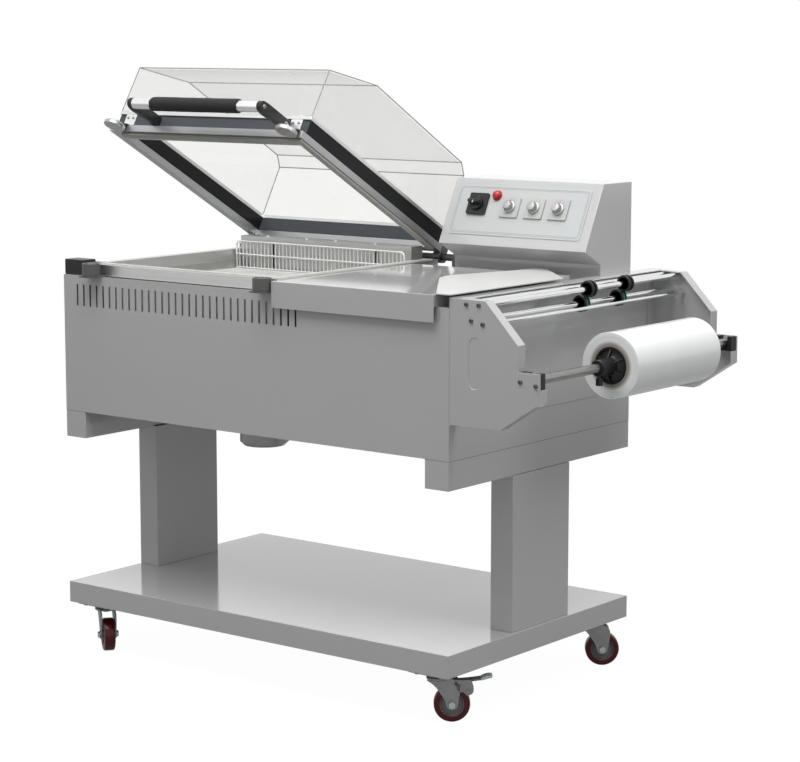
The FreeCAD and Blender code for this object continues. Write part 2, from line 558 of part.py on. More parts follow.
def basket(wall):
    """Lift-out wire basket: a flat grate on the liner's ledges and a fence at its back."""
    left = number(f"{LINER_LEFT} + {wall} + basket_gap / 2")
    right = number(f"{LINER_RIGHT} - {wall} - basket_gap / 2")
    front = number(f"{LINER_FRONT} + {wall} + basket_gap")
    back = number("fence_back")
    level = number("grate_level")
    thick = number("frame_wire") / 2
    thin = number("fill_wire") / 2
    top = level + number("fence_height")

    def wire(start, end, radius):
        step = FreeCAD.Vector(*end) - FreeCAD.Vector(*start)
        return Part.makeCylinder(radius, step.Length, FreeCAD.Vector(*start), step)

    count = int((right - left - 2 * thick) / number("wire_pitch"))
    pitch = (right - left) / (count + 1)
    crossings = [left + pitch * (i + 1) for i in range(count)]
    frame = [wire((left, y, level), (right, y, level), thick)
             for y in (front, (front + back) / 2, back)]
    frame += [wire((x, front - thick, level), (x, back + thick, level), thick)
              for x in (left + thick, right - thick)]
    fill = [wire((x, front, level), (x, back, level), thin) for x in crossings]
    grate = doc.addObject("Part::Feature", "grate")
    grate.Shape = frame[0].fuse(frame[1:] + fill)
    node("basket_grate", grate)

    lift = 2 * thick
    rails = [wire((left, back, z), (right, back, z), thick)
             for z in (level + lift, (level + lift + top) / 2)]
    rails.append(wire((left + thick + number("fence_bend"), back, top),
                      (right - thick - number("fence_bend"), back, top), thick))
    bend = number("fence_bend")
    ends = [wire((x, back, level + lift - thick), (x, back, top - bend), thick)
            for x in (left + thick, right - thick)]
    for x, start in ((left + thick + bend, 90), (right - thick - bend, 0)):
        arc = Part.makeTorus(bend, thick, FreeCAD.Vector(), FreeCAD.Vector(0, 0, 1), 0, 360, 90)
        arc.rotate(FreeCAD.Vector(), FreeCAD.Vector(0, 0, 1), start)
        arc.rotate(FreeCAD.Vector(), FreeCAD.Vector(1, 0, 0), 90)
        arc.translate(FreeCAD.Vector(x, back, top - bend))
        ends.append(arc)
    bars = [wire((x, back, level + lift), (x, back, top), thin) for x in crossings]
    fence = doc.addObject("Part::Feature", "fence")
    fence.Shape = rails[0].fuse(rails[1:] + ends + bars)
    node("basket_fence", fence)


def air_duct(wall):
    """Return-air duct up the back wall, with two upright inlets behind the basket's fence."""
    left = f"({LINER_LEFT} + {wall})"
    length = f"({LINER_RIGHT} - {LINER_LEFT} - 2 * {wall})"
    depth = f"({LINER_BACK} - {wall} - duct_front)"
    block = box("duct_block", left, "duct_front", "duct_bottom", length, depth, "duct_height")
    space = box("duct_space", f"{left} + {wall}", f"duct_front + {wall}", "duct_bottom - 1",
                f"{length} - 2 * {wall}", f"{depth} - 2 * {wall}", f"duct_height - {wall} + 1")
    inlets = [box(f"inlet_{side}", f"{left} + {length} / 2 {shift} - inlet_width / 2",
                  "duct_front - past", "duct_bottom + inlet_sill", "inlet_width",
                  f"{wall} + 2 * past", "duct_height - 2 * inlet_sill")
              for side, shift in (("left", "- inlet_spread"), ("right", "+ inlet_spread"))]
    node("duct_cover", cut("duct", block, group("duct_cuts", space, *inlets)))


def blower():
    """Fan motor under the liner, its round cover below the cabinet, and the impeller."""
    foot = f"({LINER_FLOOR} - motor_foot)"
    flange = rod("motor_plate", "motor_x", "motor_y", foot, "motor_diameter / 2 + motor_flange",
                 "motor_foot")
    can = rod("motor_can", "motor_x", "motor_y", f"{foot} - motor_length",
              "motor_diameter / 2", "motor_length")
    shaft = rod("motor_axis", "motor_x", "motor_y", foot, "motor_shaft / 2",
                "liner_wall + impeller_lift + impeller_height + shaft_spare")
    node("blower_motor", join("motor", flange, can, shaft))

    floor = f"({CABINET_BOTTOM} - cover_depth)"
    edge = "cover_diameter / 2"
    wall = "sheet_wall"
    cup, _ = turned("motor_cup",
                    (("0", "0"), (f"{edge} - cover_bevel", "0"), (edge, "cover_bevel"),
                     (edge, f"cover_depth - {wall}"),
                     (f"{edge} + cover_flange", f"cover_depth - {wall}"),
                     (f"{edge} + cover_flange", "cover_depth"), (f"{edge} - {wall}", "cover_depth"),
                     (f"{edge} - {wall}", f"cover_bevel + {wall} / 2"),
                     (f"{edge} - cover_bevel - {wall} / 2", wall), ("0", wall)))
    node("motor_cover", cup, x="motor_x", y="motor_y", z=floor)

    lift = f"({LINER_FLOOR} + liner_wall + impeller_lift)"
    body, z_axis = turned("impeller",
                          (("motor_shaft / 2 + bore_gap", "0"), ("impeller_diameter / 2", "0"),
                           ("impeller_diameter / 2", "liner_wall"),
                           ("impeller_hub", "liner_wall"),
                           ("impeller_hub - hub_taper", "impeller_height"),
                           ("motor_shaft / 2 + bore_gap", "impeller_height")))
    blade = body.newObject("PartDesign::Pad", "impeller_blade")
    blade.Profile = outline(body, "XY_Plane", "blade_section",
                            [(f"impeller_diameter / 2 - {inset}", half) for inset, half in
                             (("blade_length", "-blade_half"), ("blade_inset", "-blade_half"),
                              ("blade_inset", "blade_half"), ("blade_length", "blade_half"))])
    bind(blade, Length="impeller_height")
    doc.recompute()
    blades = body.newObject("PartDesign::PolarPattern", "impeller_blades")
    blades.Originals = [blade]
    blades.Axis = (z_axis, [""])
    blades.Angle = 360
    bind(blades, Occurrences="blade_count")
    body.Tip = blades
    node("blower_impeller", body, x="motor_x", y="motor_y", z=lift)


def deck_fittings():
    """Electromagnets on their brackets, terminal block and hinge bearings on the deck."""
    magnets = []
    brackets = []
    for side, x in (("left", "magnet_left"), ("right", "magnet_right")):
        brackets.append(box(f"magnet_bracket_{side}", f"{x} - magnet_radius",
                            "magnet_y - magnet_radius", DECK, "2 * magnet_radius",
                            "rim_front - magnet_y + magnet_radius", "magnet_bracket"))
        pot = rod(f"magnet_pot_{side}", x, "magnet_y", f"{DECK} + magnet_bracket",
                  "magnet_radius", "magnet_height")
        magnets.append(pot)
    node("electromagnets", group("magnets", *brackets, *magnets))
    block = join("terminal_body",
                 box("terminal_high", "0", "block_front", DECK, "block_step", "block_depth",
                     "block_height"),
                 box("terminal_low", "block_step", "block_front",
                     f"{DECK} + magnet_bracket + pad_gap", "block_length - block_step",
                     "block_depth", "block_low - magnet_bracket - pad_gap"))
    node("terminal_block", block)
    bearings = []
    for side, x in (("left", "hinge_start - bearing_out"), ("right", "box_left - bearing_width")):
        foot = box(f"bearing_foot_{side}", x, "hinge_y - bearing_depth / 2", DECK,
                   "bearing_width", "bearing_depth", f"hinge_z - {DECK}")
        crown = rod(f"bearing_crown_{side}", x, "hinge_y", "hinge_z",
                    "hinge_shaft / 2 + bearing_top", "bearing_width", "x")
        hole = rod(f"bearing_bore_{side}", f"{x} - 1", "hinge_y", "hinge_z",
                   "hinge_shaft / 2 + bore_gap", "bearing_width + 2", "x")
        bearings.append(cut(f"bearing_{side}", join(f"bearing_blank_{side}", foot, crown), hole))
    node("hinge_bearings", group("bearings", *bearings))


def hood_ring(name, outset, front, back, low, high, bar):
    """Rectangular frame of the hood between two rises, measured from the hinge."""
    block = box(f"{name}_block", f"hood_left + {outset}", f"-({front})", low,
                f"hood_width - 2 * {outset}", f"{front} - {back}", f"{high} - {low}")
    space = box(f"{name}_space", "hood_left + hood_side", "-(hood_front - hood_bar)", f"{low} - 1",
                "hood_width - 2 * hood_side", f"hood_front - hood_bar - {back} - {bar}",
                f"{high} - {low} + 2")
    return cut(name, block, space)


def hood():
    """Hinged hood, drawn closed about its hinge and then opened by its rest angle."""
    base_top = "(hood_under + base_height)"
    band_top = f"({base_top} + band_height)"
    strip_top = f"({band_top} + strip_height)"
    hood_node("hood_base_frame", hood_ring("base_ring", "0", "hood_front", "hood_back",
                                           "hood_under", base_top, "hood_side"))
    hood_node("hood_band", hood_ring("band_ring", "2", "hood_front - band_setback",
                                     "hood_back", base_top, band_top, "hood_side"))
    hood_node("hood_clamp_strip", hood_ring("strip_ring", "0", "cover_front", "hood_back",
                                            band_top, strip_top, "hood_side"))

    body, pad = slab("clear_hood", "YZ_Plane",
                     (("-cover_front", strip_top), ("-cover_brow", "cover_brow_rise"),
                      ("-cover_crown", "cover_crown_rise"), ("-cover_tail", "cover_tail_rise"),
                      ("-cover_rear", "cover_rear_rise"), ("-cover_rear", strip_top)),
                     "hood_width")
    hood_node("clear_cover", hollow(body, pad, (0, 0, -1), "cover_wall"), x="hood_left")

    discs = []
    straps = []
    under = f"({DECK} + magnet_bracket + magnet_height + pad_gap - hinge_z)"
    for side, x in (("left", "magnet_left"), ("right", "magnet_right")):
        discs.append(rod(f"disc_{side}", x, "-disc_reach", under, "disc_radius", "disc_height"))
        straps.append(box(f"strap_{side}", f"{x} - strap_width / 2",
                          "-(disc_reach + strap_past)", f"{under} + disc_height",
                          "strap_width", "disc_reach + strap_past - hood_front",
                          "strap_wall"))
    hood_node("armature_discs", group("discs", *discs, *straps))

    pad_under = "(rim_top + tape_height + pad_gap - hinge_z)"
    pad_height = f"(hood_under - {pad_under})"
    pad_front = "(hinge_y - rim_front - tape_setback)"
    pad_x = "(rim_right - tape_inset - tape_width)"
    pad_left = "(block_length + 2 * block_gap)"
    hood_node("hood_seal_pad",
              join("seal_pad",
                   box("pad_front_bar", pad_left, f"-{pad_front}", pad_under,
                       f"{pad_x} + tape_width - {pad_left}", "tape_width", pad_height),
                   box("pad_right_bar", pad_x, f"-{pad_front}", pad_under, "tape_width",
                       f"{pad_front} - hood_back - pad_end", pad_height)))

    arms = []
    for side, x in (("left", "handle_start - arm_wall"), ("right", "handle_start + handle_length")):
        front = "(hood_front - band_setback)"
        plate, _ = slab(f"arm_plate_{side}", "YZ_Plane",
                        ((f"-{front}", f"{band_top} - arm_drop"), (f"-{front}", f"{band_top} - past"),
                         *((f"-handle_reach + {back}", f"handle_rise + {rise}")
                           for back, rise in ARM_NOSE),
                         (f"-{front} - arm_wall", f"{band_top} - arm_drop")), "arm_wall")
        at(plate, x, "0", "0")
        arms.append(plate)
    hood_node("handle_arms", group("arms", *arms))
    hood_node("handle_tube", group("handle_bar",
                                   rod("handle_rod", "handle_start", "-handle_reach",
                                       "handle_rise", "handle_diameter / 2", "handle_length",
                                       "x")))
    hood_node("handle_grip", tube("grip", "grip_start", "-handle_reach", "handle_rise",
                                  "grip_diameter / 2", "handle_diameter / 2", "grip_length", "x"))

    brackets = []
    for side, x in (("left", "hood_left + bracket_inset"),
                    ("right", "hood_left + hood_width - bracket_inset - bracket_width")):
        brackets.append(join(f"corner_{side}",
                             box(f"corner_low_{side}", x, "-(cover_front + bracket_wall)",
                                 f"{band_top} - bracket_drop", "bracket_width",
                                 "cover_front + bracket_wall - hood_front + band_setback",
                                 "bracket_drop"),
                             box(f"corner_high_{side}", x, "-(cover_front + bracket_wall)",
                                 band_top, "bracket_width", "bracket_wall",
                                 "strip_height + bracket_rise")))
    hood_node("hood_corner_brackets", group("corner_brackets", *brackets))

    arms = []
    for side, x in (("left", "hood_left"), ("right", "hood_left + hood_width - hood_side")):
        link = box(f"hub_link_{side}", x, "-hood_back", "-link_drop", "hood_side",
                   "hood_back + link_drop", f"{band_top} + link_drop")
        ear = rod(f"hub_{side}", x, "0", "0", "hub_radius", "hood_side", "x")
        hole = rod(f"hub_bore_{side}", f"{x} - 1", "0", "0", "hinge_shaft / 2 + bore_gap",
                   "hood_side + 2", "x")
        arms.append(cut(f"hub_arm_{side}", join(f"hub_blank_{side}", link, ear), hole))
    shaft = rod("hinge_rod", "hinge_start", "0", "0", "hinge_shaft / 2", "hinge_length", "x")
    hood_node("hinge_shaft", group("hinge_bar", shaft, *arms))


def packing_table():
    """Sheet table beside the chamber, folded down at all four edges, and its film guide plate."""
    length = "(table_right - table_left)"
    width = "(table_back - table_front)"
    block = box("table_block", "table_left", "table_front", DECK, length, width,
                f"table_top - {DECK}")
    apron = box("table_apron", "table_left", "table_front", "apron_bottom", length, "sheet_wall",
                f"{DECK} - apron_bottom")
    space = box("table_space", "table_left + sheet_wall", "table_front + sheet_wall", f"{DECK} - 1",
                f"{length} - 2 * sheet_wall", f"{width} - 2 * sheet_wall",
                f"table_top - {DECK} - sheet_wall + 1")
    node("packing_table", cut("table", join("table_blank", block, apron), space))

    body, pad = slab("guide_plate", "XY_Plane",
                     (("unit_left + guide_edge", "guide_front"),
                      ("table_right + guide_overlap", "guide_front"),
                      *((f"table_right - {inward}", f"table_back {back}")
                        for inward, back in GUIDE_EDGE),
                      ("unit_left + guide_edge", f"table_back {GUIDE_EDGE_END}")), "guide_wall")
    corners = body.newObject("PartDesign::Fillet", "guide_corners")
    rounded = [f"Edge{i}" for i, edge in enumerate(pad.Shape.Edges, start=1)
               if edge.BoundBox.ZLength > number("guide_wall") - 0.01
               and edge.CenterOfMass.x < number("unit_left")]
    corners.Base = (pad, rounded)
    bind(corners, Radius="guide_corner")
    body.Tip = corners
    node("film_guide_plate", body, z="table_top")


def control_box():
    """Sheet box with a sloping panel that holds the switch, the lamp and three dials."""
    right = "cabinet_length"
    body, pad = slab("control", "YZ_Plane",
                     (("box_front", "0"), ("box_front", "box_shoulder"), ("box_lean", "box_chin"),
                      ("box_crest", "box_height"), ("cabinet_depth", "box_height"),
                      ("cabinet_depth", "0")),
                     f"{right} - box_left")
    node("control_box", hollow(body, pad, (0, 0, -1), "sheet_wall"), x="box_left", z=DECK)

    low = "-(panel_start + panel_width)"
    plate = box("panel_block", "panel_left", low, "0", "panel_length", "panel_width", "panel_wall")
    doc.recompute()
    face = doc.addObject("Part::Fillet", "panel_face")
    face.Base = plate
    radius = number("panel_corner")
    face.Edges = [(index, radius, radius) for index, edge in enumerate(plate.Shape.Edges, start=1)
                  if edge.BoundBox.ZLength > number("panel_wall") - 0.01]
    panel_node("control_panel", face)

    def spindle(name, x, s, base):
        return rod(name, x, f"-{s}", base, "spindle_diameter / 2", "spindle_length")

    base = box("switch_block", "switch_x - switch_size / 2", "-switch_s - switch_size / 2",
               "panel_wall", "switch_size", "switch_size", "switch_wall")
    plates = [join("switch_face", base, spindle("switch_spindle", "switch_x", "switch_s",
                                                "panel_wall + switch_wall"))]
    knob_z = "(panel_wall + switch_wall + running_gap)"
    disc = rod("switch_base", "switch_x", "-switch_s", knob_z, "switch_knob / 2", "switch_disc")
    bar = box("switch_ridge", "switch_x - switch_knob / 2 + bar_inset",
              "-switch_s - switch_bar / 2", knob_z, "switch_knob - 2 * bar_inset",
              "switch_bar", "switch_grip")
    bore = rod("switch_bore", "switch_x", "-switch_s", f"{knob_z} - 1",
               "spindle_diameter / 2 + bore_gap", "spindle_length + 2")
    panel_node("switch_knob", cut("selector", join("selector_blank", disc, bar), bore))

    bezel = rod("lamp_bezel", "lamp_x", "-lamp_s", "panel_wall", "lamp_radius", "lamp_ring")
    dome = doc.addObject("Part::Sphere", "lamp_ball")
    dome.Angle1 = 0
    bind(dome, Radius="lamp_radius - lamp_ring")
    at(dome, "lamp_x", "-lamp_s", "panel_wall + lamp_ring")
    panel_node("pilot_lamp", group("lamp_pieces", bezel, dome))

    for i in range(3):
        x = f"(dial_first + {i} * dial_pitch)"
        plates.append(join(f"dial_{i}",
                           box(f"dial_block_{i}", f"{x} - dial_size / 2",
                               "-dial_s - dial_size / 2", "panel_wall", "dial_size",
                               "dial_size", "dial_wall"),
                           spindle(f"dial_spindle_{i}", x, "dial_s", "panel_wall + dial_wall")))
        low = "(panel_wall + dial_wall + running_gap)"
        skirt = doc.addObject("Part::Cone", f"knob_body_{i}")
        bind(skirt, Radius1="knob_diameter / 2", Radius2="knob_diameter / 2 - knob_taper",
             Height="knob_height")
        at(skirt, x, "-dial_s", low)
        hole = rod(f"knob_bore_{i}", x, "-dial_s", f"{low} - 1",
                   "spindle_diameter / 2 + bore_gap", "spindle_length + 2")
        panel_node(f"dial_knob_{i + 1}", cut(f"knob_{i}", skirt, hole))
    panel_node("dial_plates", group("dials", *plates))


def film_unit():
    """Roll holder on the right side: two side plates, a back panel, rods, rollers and the roll."""
    side = (("unit_left", "back_bottom + plate_rise"),
            ("unit_left + plate_foot", "back_bottom + plate_rise + plate_step"),
            ("block_right + unit_wall", "block_bottom - plate_toe"),
            ("block_right + unit_wall", "block_top"), ("block_left + plate_step", "block_top"),
            ("block_left + plate_step", "block_top + plate_neck"),
            ("unit_left + plate_brow", f"{UNIT_TOP} - plate_fall"), ("unit_left", UNIT_TOP))
    near, near_pad = slab("near_plate", "XZ_Plane", side, "unit_flange", reverse=True)
    hollow(near, near_pad, (0, 1, 0), "unit_wall")
    far, far_pad = slab("far_plate", "XZ_Plane", side, "unit_flange")
    hollow(far, far_pad, (0, -1, 0), "unit_wall")
    at(far, "0", "unit_depth", "0")
    plates = []
    for end, plate, y, start in (("front", near, "unit_wall", "-past"),
                                 ("rear", far, "unit_depth - unit_flange",
                                  "unit_depth - slot_recess")):
        notch = box(f"plate_notch_{end}", "block_left - unit_wall", y,
                    "block_bottom - notch_gap",
                    "block_right - block_left + 2 * unit_wall + past",
                    "unit_flange - unit_wall", "block_top - block_bottom + notch_gap + past")
        half = "(slot_length / 2 - slot_radius)"
        reach = "slot_recess + past"
        slot = join(f"plate_slot_{end}",
                    box(f"slot_middle_{end}", "slot_x - slot_radius", start, f"slot_z - {half}",
                        "2 * slot_radius", reach, f"2 * {half}"),
                    rod(f"slot_low_{end}", "slot_x", start, f"slot_z - {half}", "slot_radius",
                        reach, "y"),
                    rod(f"slot_high_{end}", "slot_x", start, f"slot_z + {half}", "slot_radius",
                        reach, "y"))
        plates.append(cut(f"notched_{end}", plate, group(f"plate_cuts_{end}", notch, slot)))
    node("film_side_plates", group("side_plates", *plates))

    wall = "back_wall"
    panel = join("back_blank",
                 box("back_sheet", "cabinet_length", "0", "back_bottom", wall, "unit_depth",
                     f"{UNIT_TOP} - back_bottom"),
                 box("back_top", "unit_left", "unit_flange + 1", f"{UNIT_TOP} - {wall}",
                     "back_flange", "unit_depth - 2 * unit_flange - 2", wall))
    node("film_back_panel", panel)

    start = "unit_wall"
    length = "unit_depth - 2 * unit_wall"
    node("film_guide_rods", group("guide_rods",
                                  rod("guide_bar", "guide_rod_x", start, "rod_line",
                                      "guide_rod / 2", length, "y"),
                                  rod("tie_bar", "thin_rod_x", start, "thin_rod_z",
                                      "thin_rod / 2", length, "y")))

    wheels = ["first_wheel", "(first_wheel + wheel_step)"]
    for name, x, z in (("pin_roller", "pin_rod_x", "rod_line"),
                       ("counter_roller", "counter_x", "counter_z")):
        radius = "(wheel_radius - disc_gap)"
        pieces = [rod(f"{name}_rod", x, "unit_wall + running_gap", z, "pin_rod / 2",
                      "unit_depth - 2 * unit_wall - 2 * running_gap", "y")]
        for i, y in enumerate(wheels):
            pieces.append(rod(f"{name}_hub_{i}", x, f"{y} - wheel_span / 2", z, "wheel_hub",
                              "wheel_span", "y"))
            for k, shift in enumerate(("-wheel_span / 2", "wheel_span / 2 - disc_wall")):
                pieces.append(rod(f"{name}_disc_{i}{k}", x, f"{y} {'+' if k else ''} {shift}", z,
                                  radius, "disc_wall", "y"))
        node(name, join(f"{name}_solid", *pieces))
    rings = [ring(f"cord_ring_{i}", "counter_x", y, "counter_z",
                  "wheel_hub + cord_radius + cord_gap", "cord_radius", "y")
             for i, y in enumerate(wheels)]
    node("roller_rings", group("cord_rings", *rings))

    blocks = []
    for end, y in (("front", "unit_wall"), ("rear", "unit_depth - unit_wall - shaft_block")):
        block = box(f"block_{end}", "block_left", y, "block_bottom", "block_right - block_left",
                    "shaft_block", "block_top - block_bottom")
        seat = rod(f"seat_{end}", "film_x", f"{y} - 1", "film_z", "film_shaft / 2 + bore_gap",
                   "shaft_block + 2", "y")
        slot = box(f"slot_{end}", "film_x - film_shaft / 2 - bore_gap", f"{y} - 1", "film_z",
                   "film_shaft + 2 * bore_gap", "shaft_block + 2", "block_top")
        blocks.append(cut(f"shaft_block_{end}", block, group(f"notch_{end}", seat, slot)))
    node("shaft_blocks", group("blocks", *blocks))

    roll_end = "(roll_start + roll_length)"
    node("film_shaft", group("roll_shaft",
                             rod("roll_axis", "film_x", "unit_wall + running_gap", "film_z",
                                 "film_shaft / 2",
                                 "unit_depth - 2 * unit_wall - 2 * running_gap", "y")))
    inner = "(core_radius - core_wall)"
    node("film_core", tube("core", "film_x", "roll_start", "film_z", "core_radius", inner,
                           "roll_length", "y"))
    node("film_roll", tube("roll", "film_x", "roll_start", "film_z", "roll_radius",
                           "core_radius", "roll_length", "y"))
    hubs = []
    for end, y, sign in (("front", "roll_start", 1), ("rear", roll_end, -1)):
        inward = f"{y} - {0 if sign > 0 else 1} * hub_length"
        plug = rod(f"plug_{end}", "film_x", inward, "film_z", f"{inner} - plug_gap", "hub_length",
                   "y")
        neck = rod(f"neck_{end}", "film_x", f"{y} - {1 if sign > 0 else 0} * neck_length",
                   "film_z", "film_shaft / 2 + neck_wall", "neck_length", "y")
        hole = rod(f"hub_hole_{end}", "film_x", f"{y} - 2 * hub_length", "film_z",
                   "film_shaft / 2 + bore_gap", "4 * hub_length", "y")
        lock_y = f"{y} - {sign} * (neck_length - lock_setback)"
        screw = rod(f"lock_screw_{end}", "film_x", lock_y, "film_z - lock_reach", "lock_screw",
                    "lock_reach")
        head = rod(f"lock_head_{end}", "film_x", lock_y, "film_z - lock_reach", "lock_head",
                   "lock_height")
        hubs.append(cut(f"hub_{end}", join(f"hub_blank_{end}", plug, neck, screw, head), hole))
    node("core_hubs", group("hubs", *hubs))


def screws():
    """Visible screw heads: rod ends on the side plates, shaft blocks and panel corners."""
    heads = []
    spots = (("guide_rod_x", "rod_line"), ("thin_rod_x", "thin_rod_z"),
             ("pin_rod_x", "rod_line"), ("counter_x", "counter_z"),
             ("block_left + screw_inset", "film_z - screw_drop"),
             ("block_right - screw_inset", "film_z - screw_low"))
    for i, (x, z) in enumerate(spots):
        for end, y in (("front", "-screw_height"), ("rear", "unit_depth")):
            heads.append(rod(f"head_{i}_{end}", x, y, z, "screw_head / 2", "screw_height", "y"))
    node("plate_screws", group("screw_heads", *heads))


tray_shelf()
posts_and_beams()
castors()
cabinet()
chamber()
deck_fittings()
hood()
packing_table()
control_box()
film_unit()
screws()

doc.recompute()
broken = [thing.Name for thing in doc.Objects
          if any(word in ("Invalid", "Error") for word in thing.State)]
empty = [thing.Label for thing in NODES
         if thing.Shape.isNull() or not thing.Shape.isValid() or not thing.Shape.Solids]
if broken or empty:
    raise RuntimeError(f"objects that failed: {broken}, empty or invalid nodes: {empty}")

os.makedirs("parts", exist_ok=True)
for thing in NODES:
    thing.Shape.exportStep(f"parts/{thing.Label}.step")
print(len(NODES), "nodes,", sum(len(thing.Shape.Solids) for thing in NODES), "solids")
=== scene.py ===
# %% [markdown]
# # A hood-type shrink wrapping machine, dressed for the camera
# The machine's solids come packed as a fixed frame, in metres. The lesson dresses them: sheet
# metal gets its small rounded edges, plain discs and blocks become wheels, knobs and magnets,
# and every surface gets a finish made of shader nodes. A dressed piece always lies where the
# solid lies and rides on the same moving body.

# %% Load the frame
import json
import math
import random

import bmesh
import bpy
from mathutils import Matrix, Vector, noise

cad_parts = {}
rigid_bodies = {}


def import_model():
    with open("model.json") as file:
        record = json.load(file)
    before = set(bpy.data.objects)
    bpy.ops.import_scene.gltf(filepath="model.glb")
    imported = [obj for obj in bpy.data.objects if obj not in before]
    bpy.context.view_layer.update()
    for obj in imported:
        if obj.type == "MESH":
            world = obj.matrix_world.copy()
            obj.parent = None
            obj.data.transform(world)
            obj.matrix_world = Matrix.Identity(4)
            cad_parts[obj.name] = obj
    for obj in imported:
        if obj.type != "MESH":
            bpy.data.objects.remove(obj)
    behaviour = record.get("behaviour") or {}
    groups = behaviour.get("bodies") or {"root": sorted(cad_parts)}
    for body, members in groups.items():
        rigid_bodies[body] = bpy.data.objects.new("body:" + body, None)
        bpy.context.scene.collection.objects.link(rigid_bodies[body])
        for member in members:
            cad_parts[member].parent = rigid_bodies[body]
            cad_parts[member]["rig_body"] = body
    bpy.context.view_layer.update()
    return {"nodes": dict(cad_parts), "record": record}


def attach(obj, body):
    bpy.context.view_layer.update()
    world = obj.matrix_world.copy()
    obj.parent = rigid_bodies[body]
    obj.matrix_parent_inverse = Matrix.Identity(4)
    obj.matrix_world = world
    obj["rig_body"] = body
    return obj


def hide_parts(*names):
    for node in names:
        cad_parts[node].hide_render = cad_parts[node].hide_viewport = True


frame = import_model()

NODES = frame["nodes"]
SLOT_OF = {row["node"]: row["material_slot"] for row in frame["record"]["subparts"]}
scene = bpy.context.scene

# %% [markdown]
# ## The camera
# The photograph's straight cabinet edges fix the camera: it stands to the right of the front,
# a little above the table. It comes first because every later choice is judged through it.

# %% Camera
AZIMUTH, ELEVATION = math.radians(38.02), math.radians(8.37)
back = Vector((math.sin(AZIMUTH) * math.cos(ELEVATION), -math.cos(AZIMUTH) * math.cos(ELEVATION),
               math.sin(ELEVATION)))
camera = bpy.data.objects.new("photo_camera", bpy.data.cameras.new("photo_camera"))
scene.collection.objects.link(camera)
camera.location = (3.183, -4.0635, 1.392)
camera.rotation_euler = back.to_track_quat("Z", "Y").to_euler()
camera.data.lens = 106.63
camera.data.sensor_width = 36.0
scene.camera = camera
print("lens", camera.data.lens)

# %% [markdown]
# ## Places
# The machine is drawn in millimetres from the cabinet's front left corner, and the hood, the
# sloping panel and the castors each have a place of their own. A matrix for each place lets a
# piece be modelled straight and simple, and then be put where it belongs in one step.

# %% Places in the machine
MM = 0.001
MACHINE = Matrix.Diagonal((MM, MM, MM, 1)) @ Matrix.Translation((-671.5, -358, 0))
HOOD = MACHINE @ Matrix.Translation((0, 590, 886)) @ Matrix.Rotation(math.radians(29.5), 4, (-1, 0, 0))
PANEL = (MACHINE @ Matrix.Translation((0, 550, 1072))
         @ Matrix.Rotation(math.atan2(141.5, 70), 4, "X"))
CASTORS = {"front_left": (75, 39, -37), "front_right": (1027, 39, 38),
           "rear_left": (75, 596, 150), "rear_right": (1027, 596, 38)}
ALONG_X = Matrix.Rotation(math.radians(90), 4, "Y")
ALONG_Y = Matrix.Rotation(math.radians(-90), 4, "X")


def at(x, y, z):
    """A plain shift in millimetres."""
    return Matrix.Translation((x, y, z))


def castor_place(corner):
    x, y, yaw = CASTORS[corner]
    return MACHINE @ at(x, y, 0) @ Matrix.Rotation(math.radians(yaw), 4, "Z")


print("castors", sorted(CASTORS))

# %% [markdown]
# ## Shader nodes written as sums
# A finish is a small graph of nodes. Linking each node by hand hides the idea, so one class
# wraps a socket and lets Python's own operators add Math nodes: `0.3 + 0.1 * grain` is then a
# roughness. Every other node comes from one method that takes its type, settings and sockets.

# %% Wires and finishes
class Wire:
    """A shader value that arithmetic works on."""

    def __init__(self, finish, socket):
        self.finish = finish
        self.socket = socket

    def math(self, operation, first, second):
        return self.finish.node("ShaderNodeMath", {"operation": operation}, {0: first, 1: second})

    def __add__(self, other):
        return self.math("ADD", self, other)

    __radd__ = __add__

    def __sub__(self, other):
        return self.math("SUBTRACT", self, other)

    def __rsub__(self, other):
        return self.math("SUBTRACT", other, self)

    def __mul__(self, other):
        return self.math("MULTIPLY", self, other)

    __rmul__ = __mul__


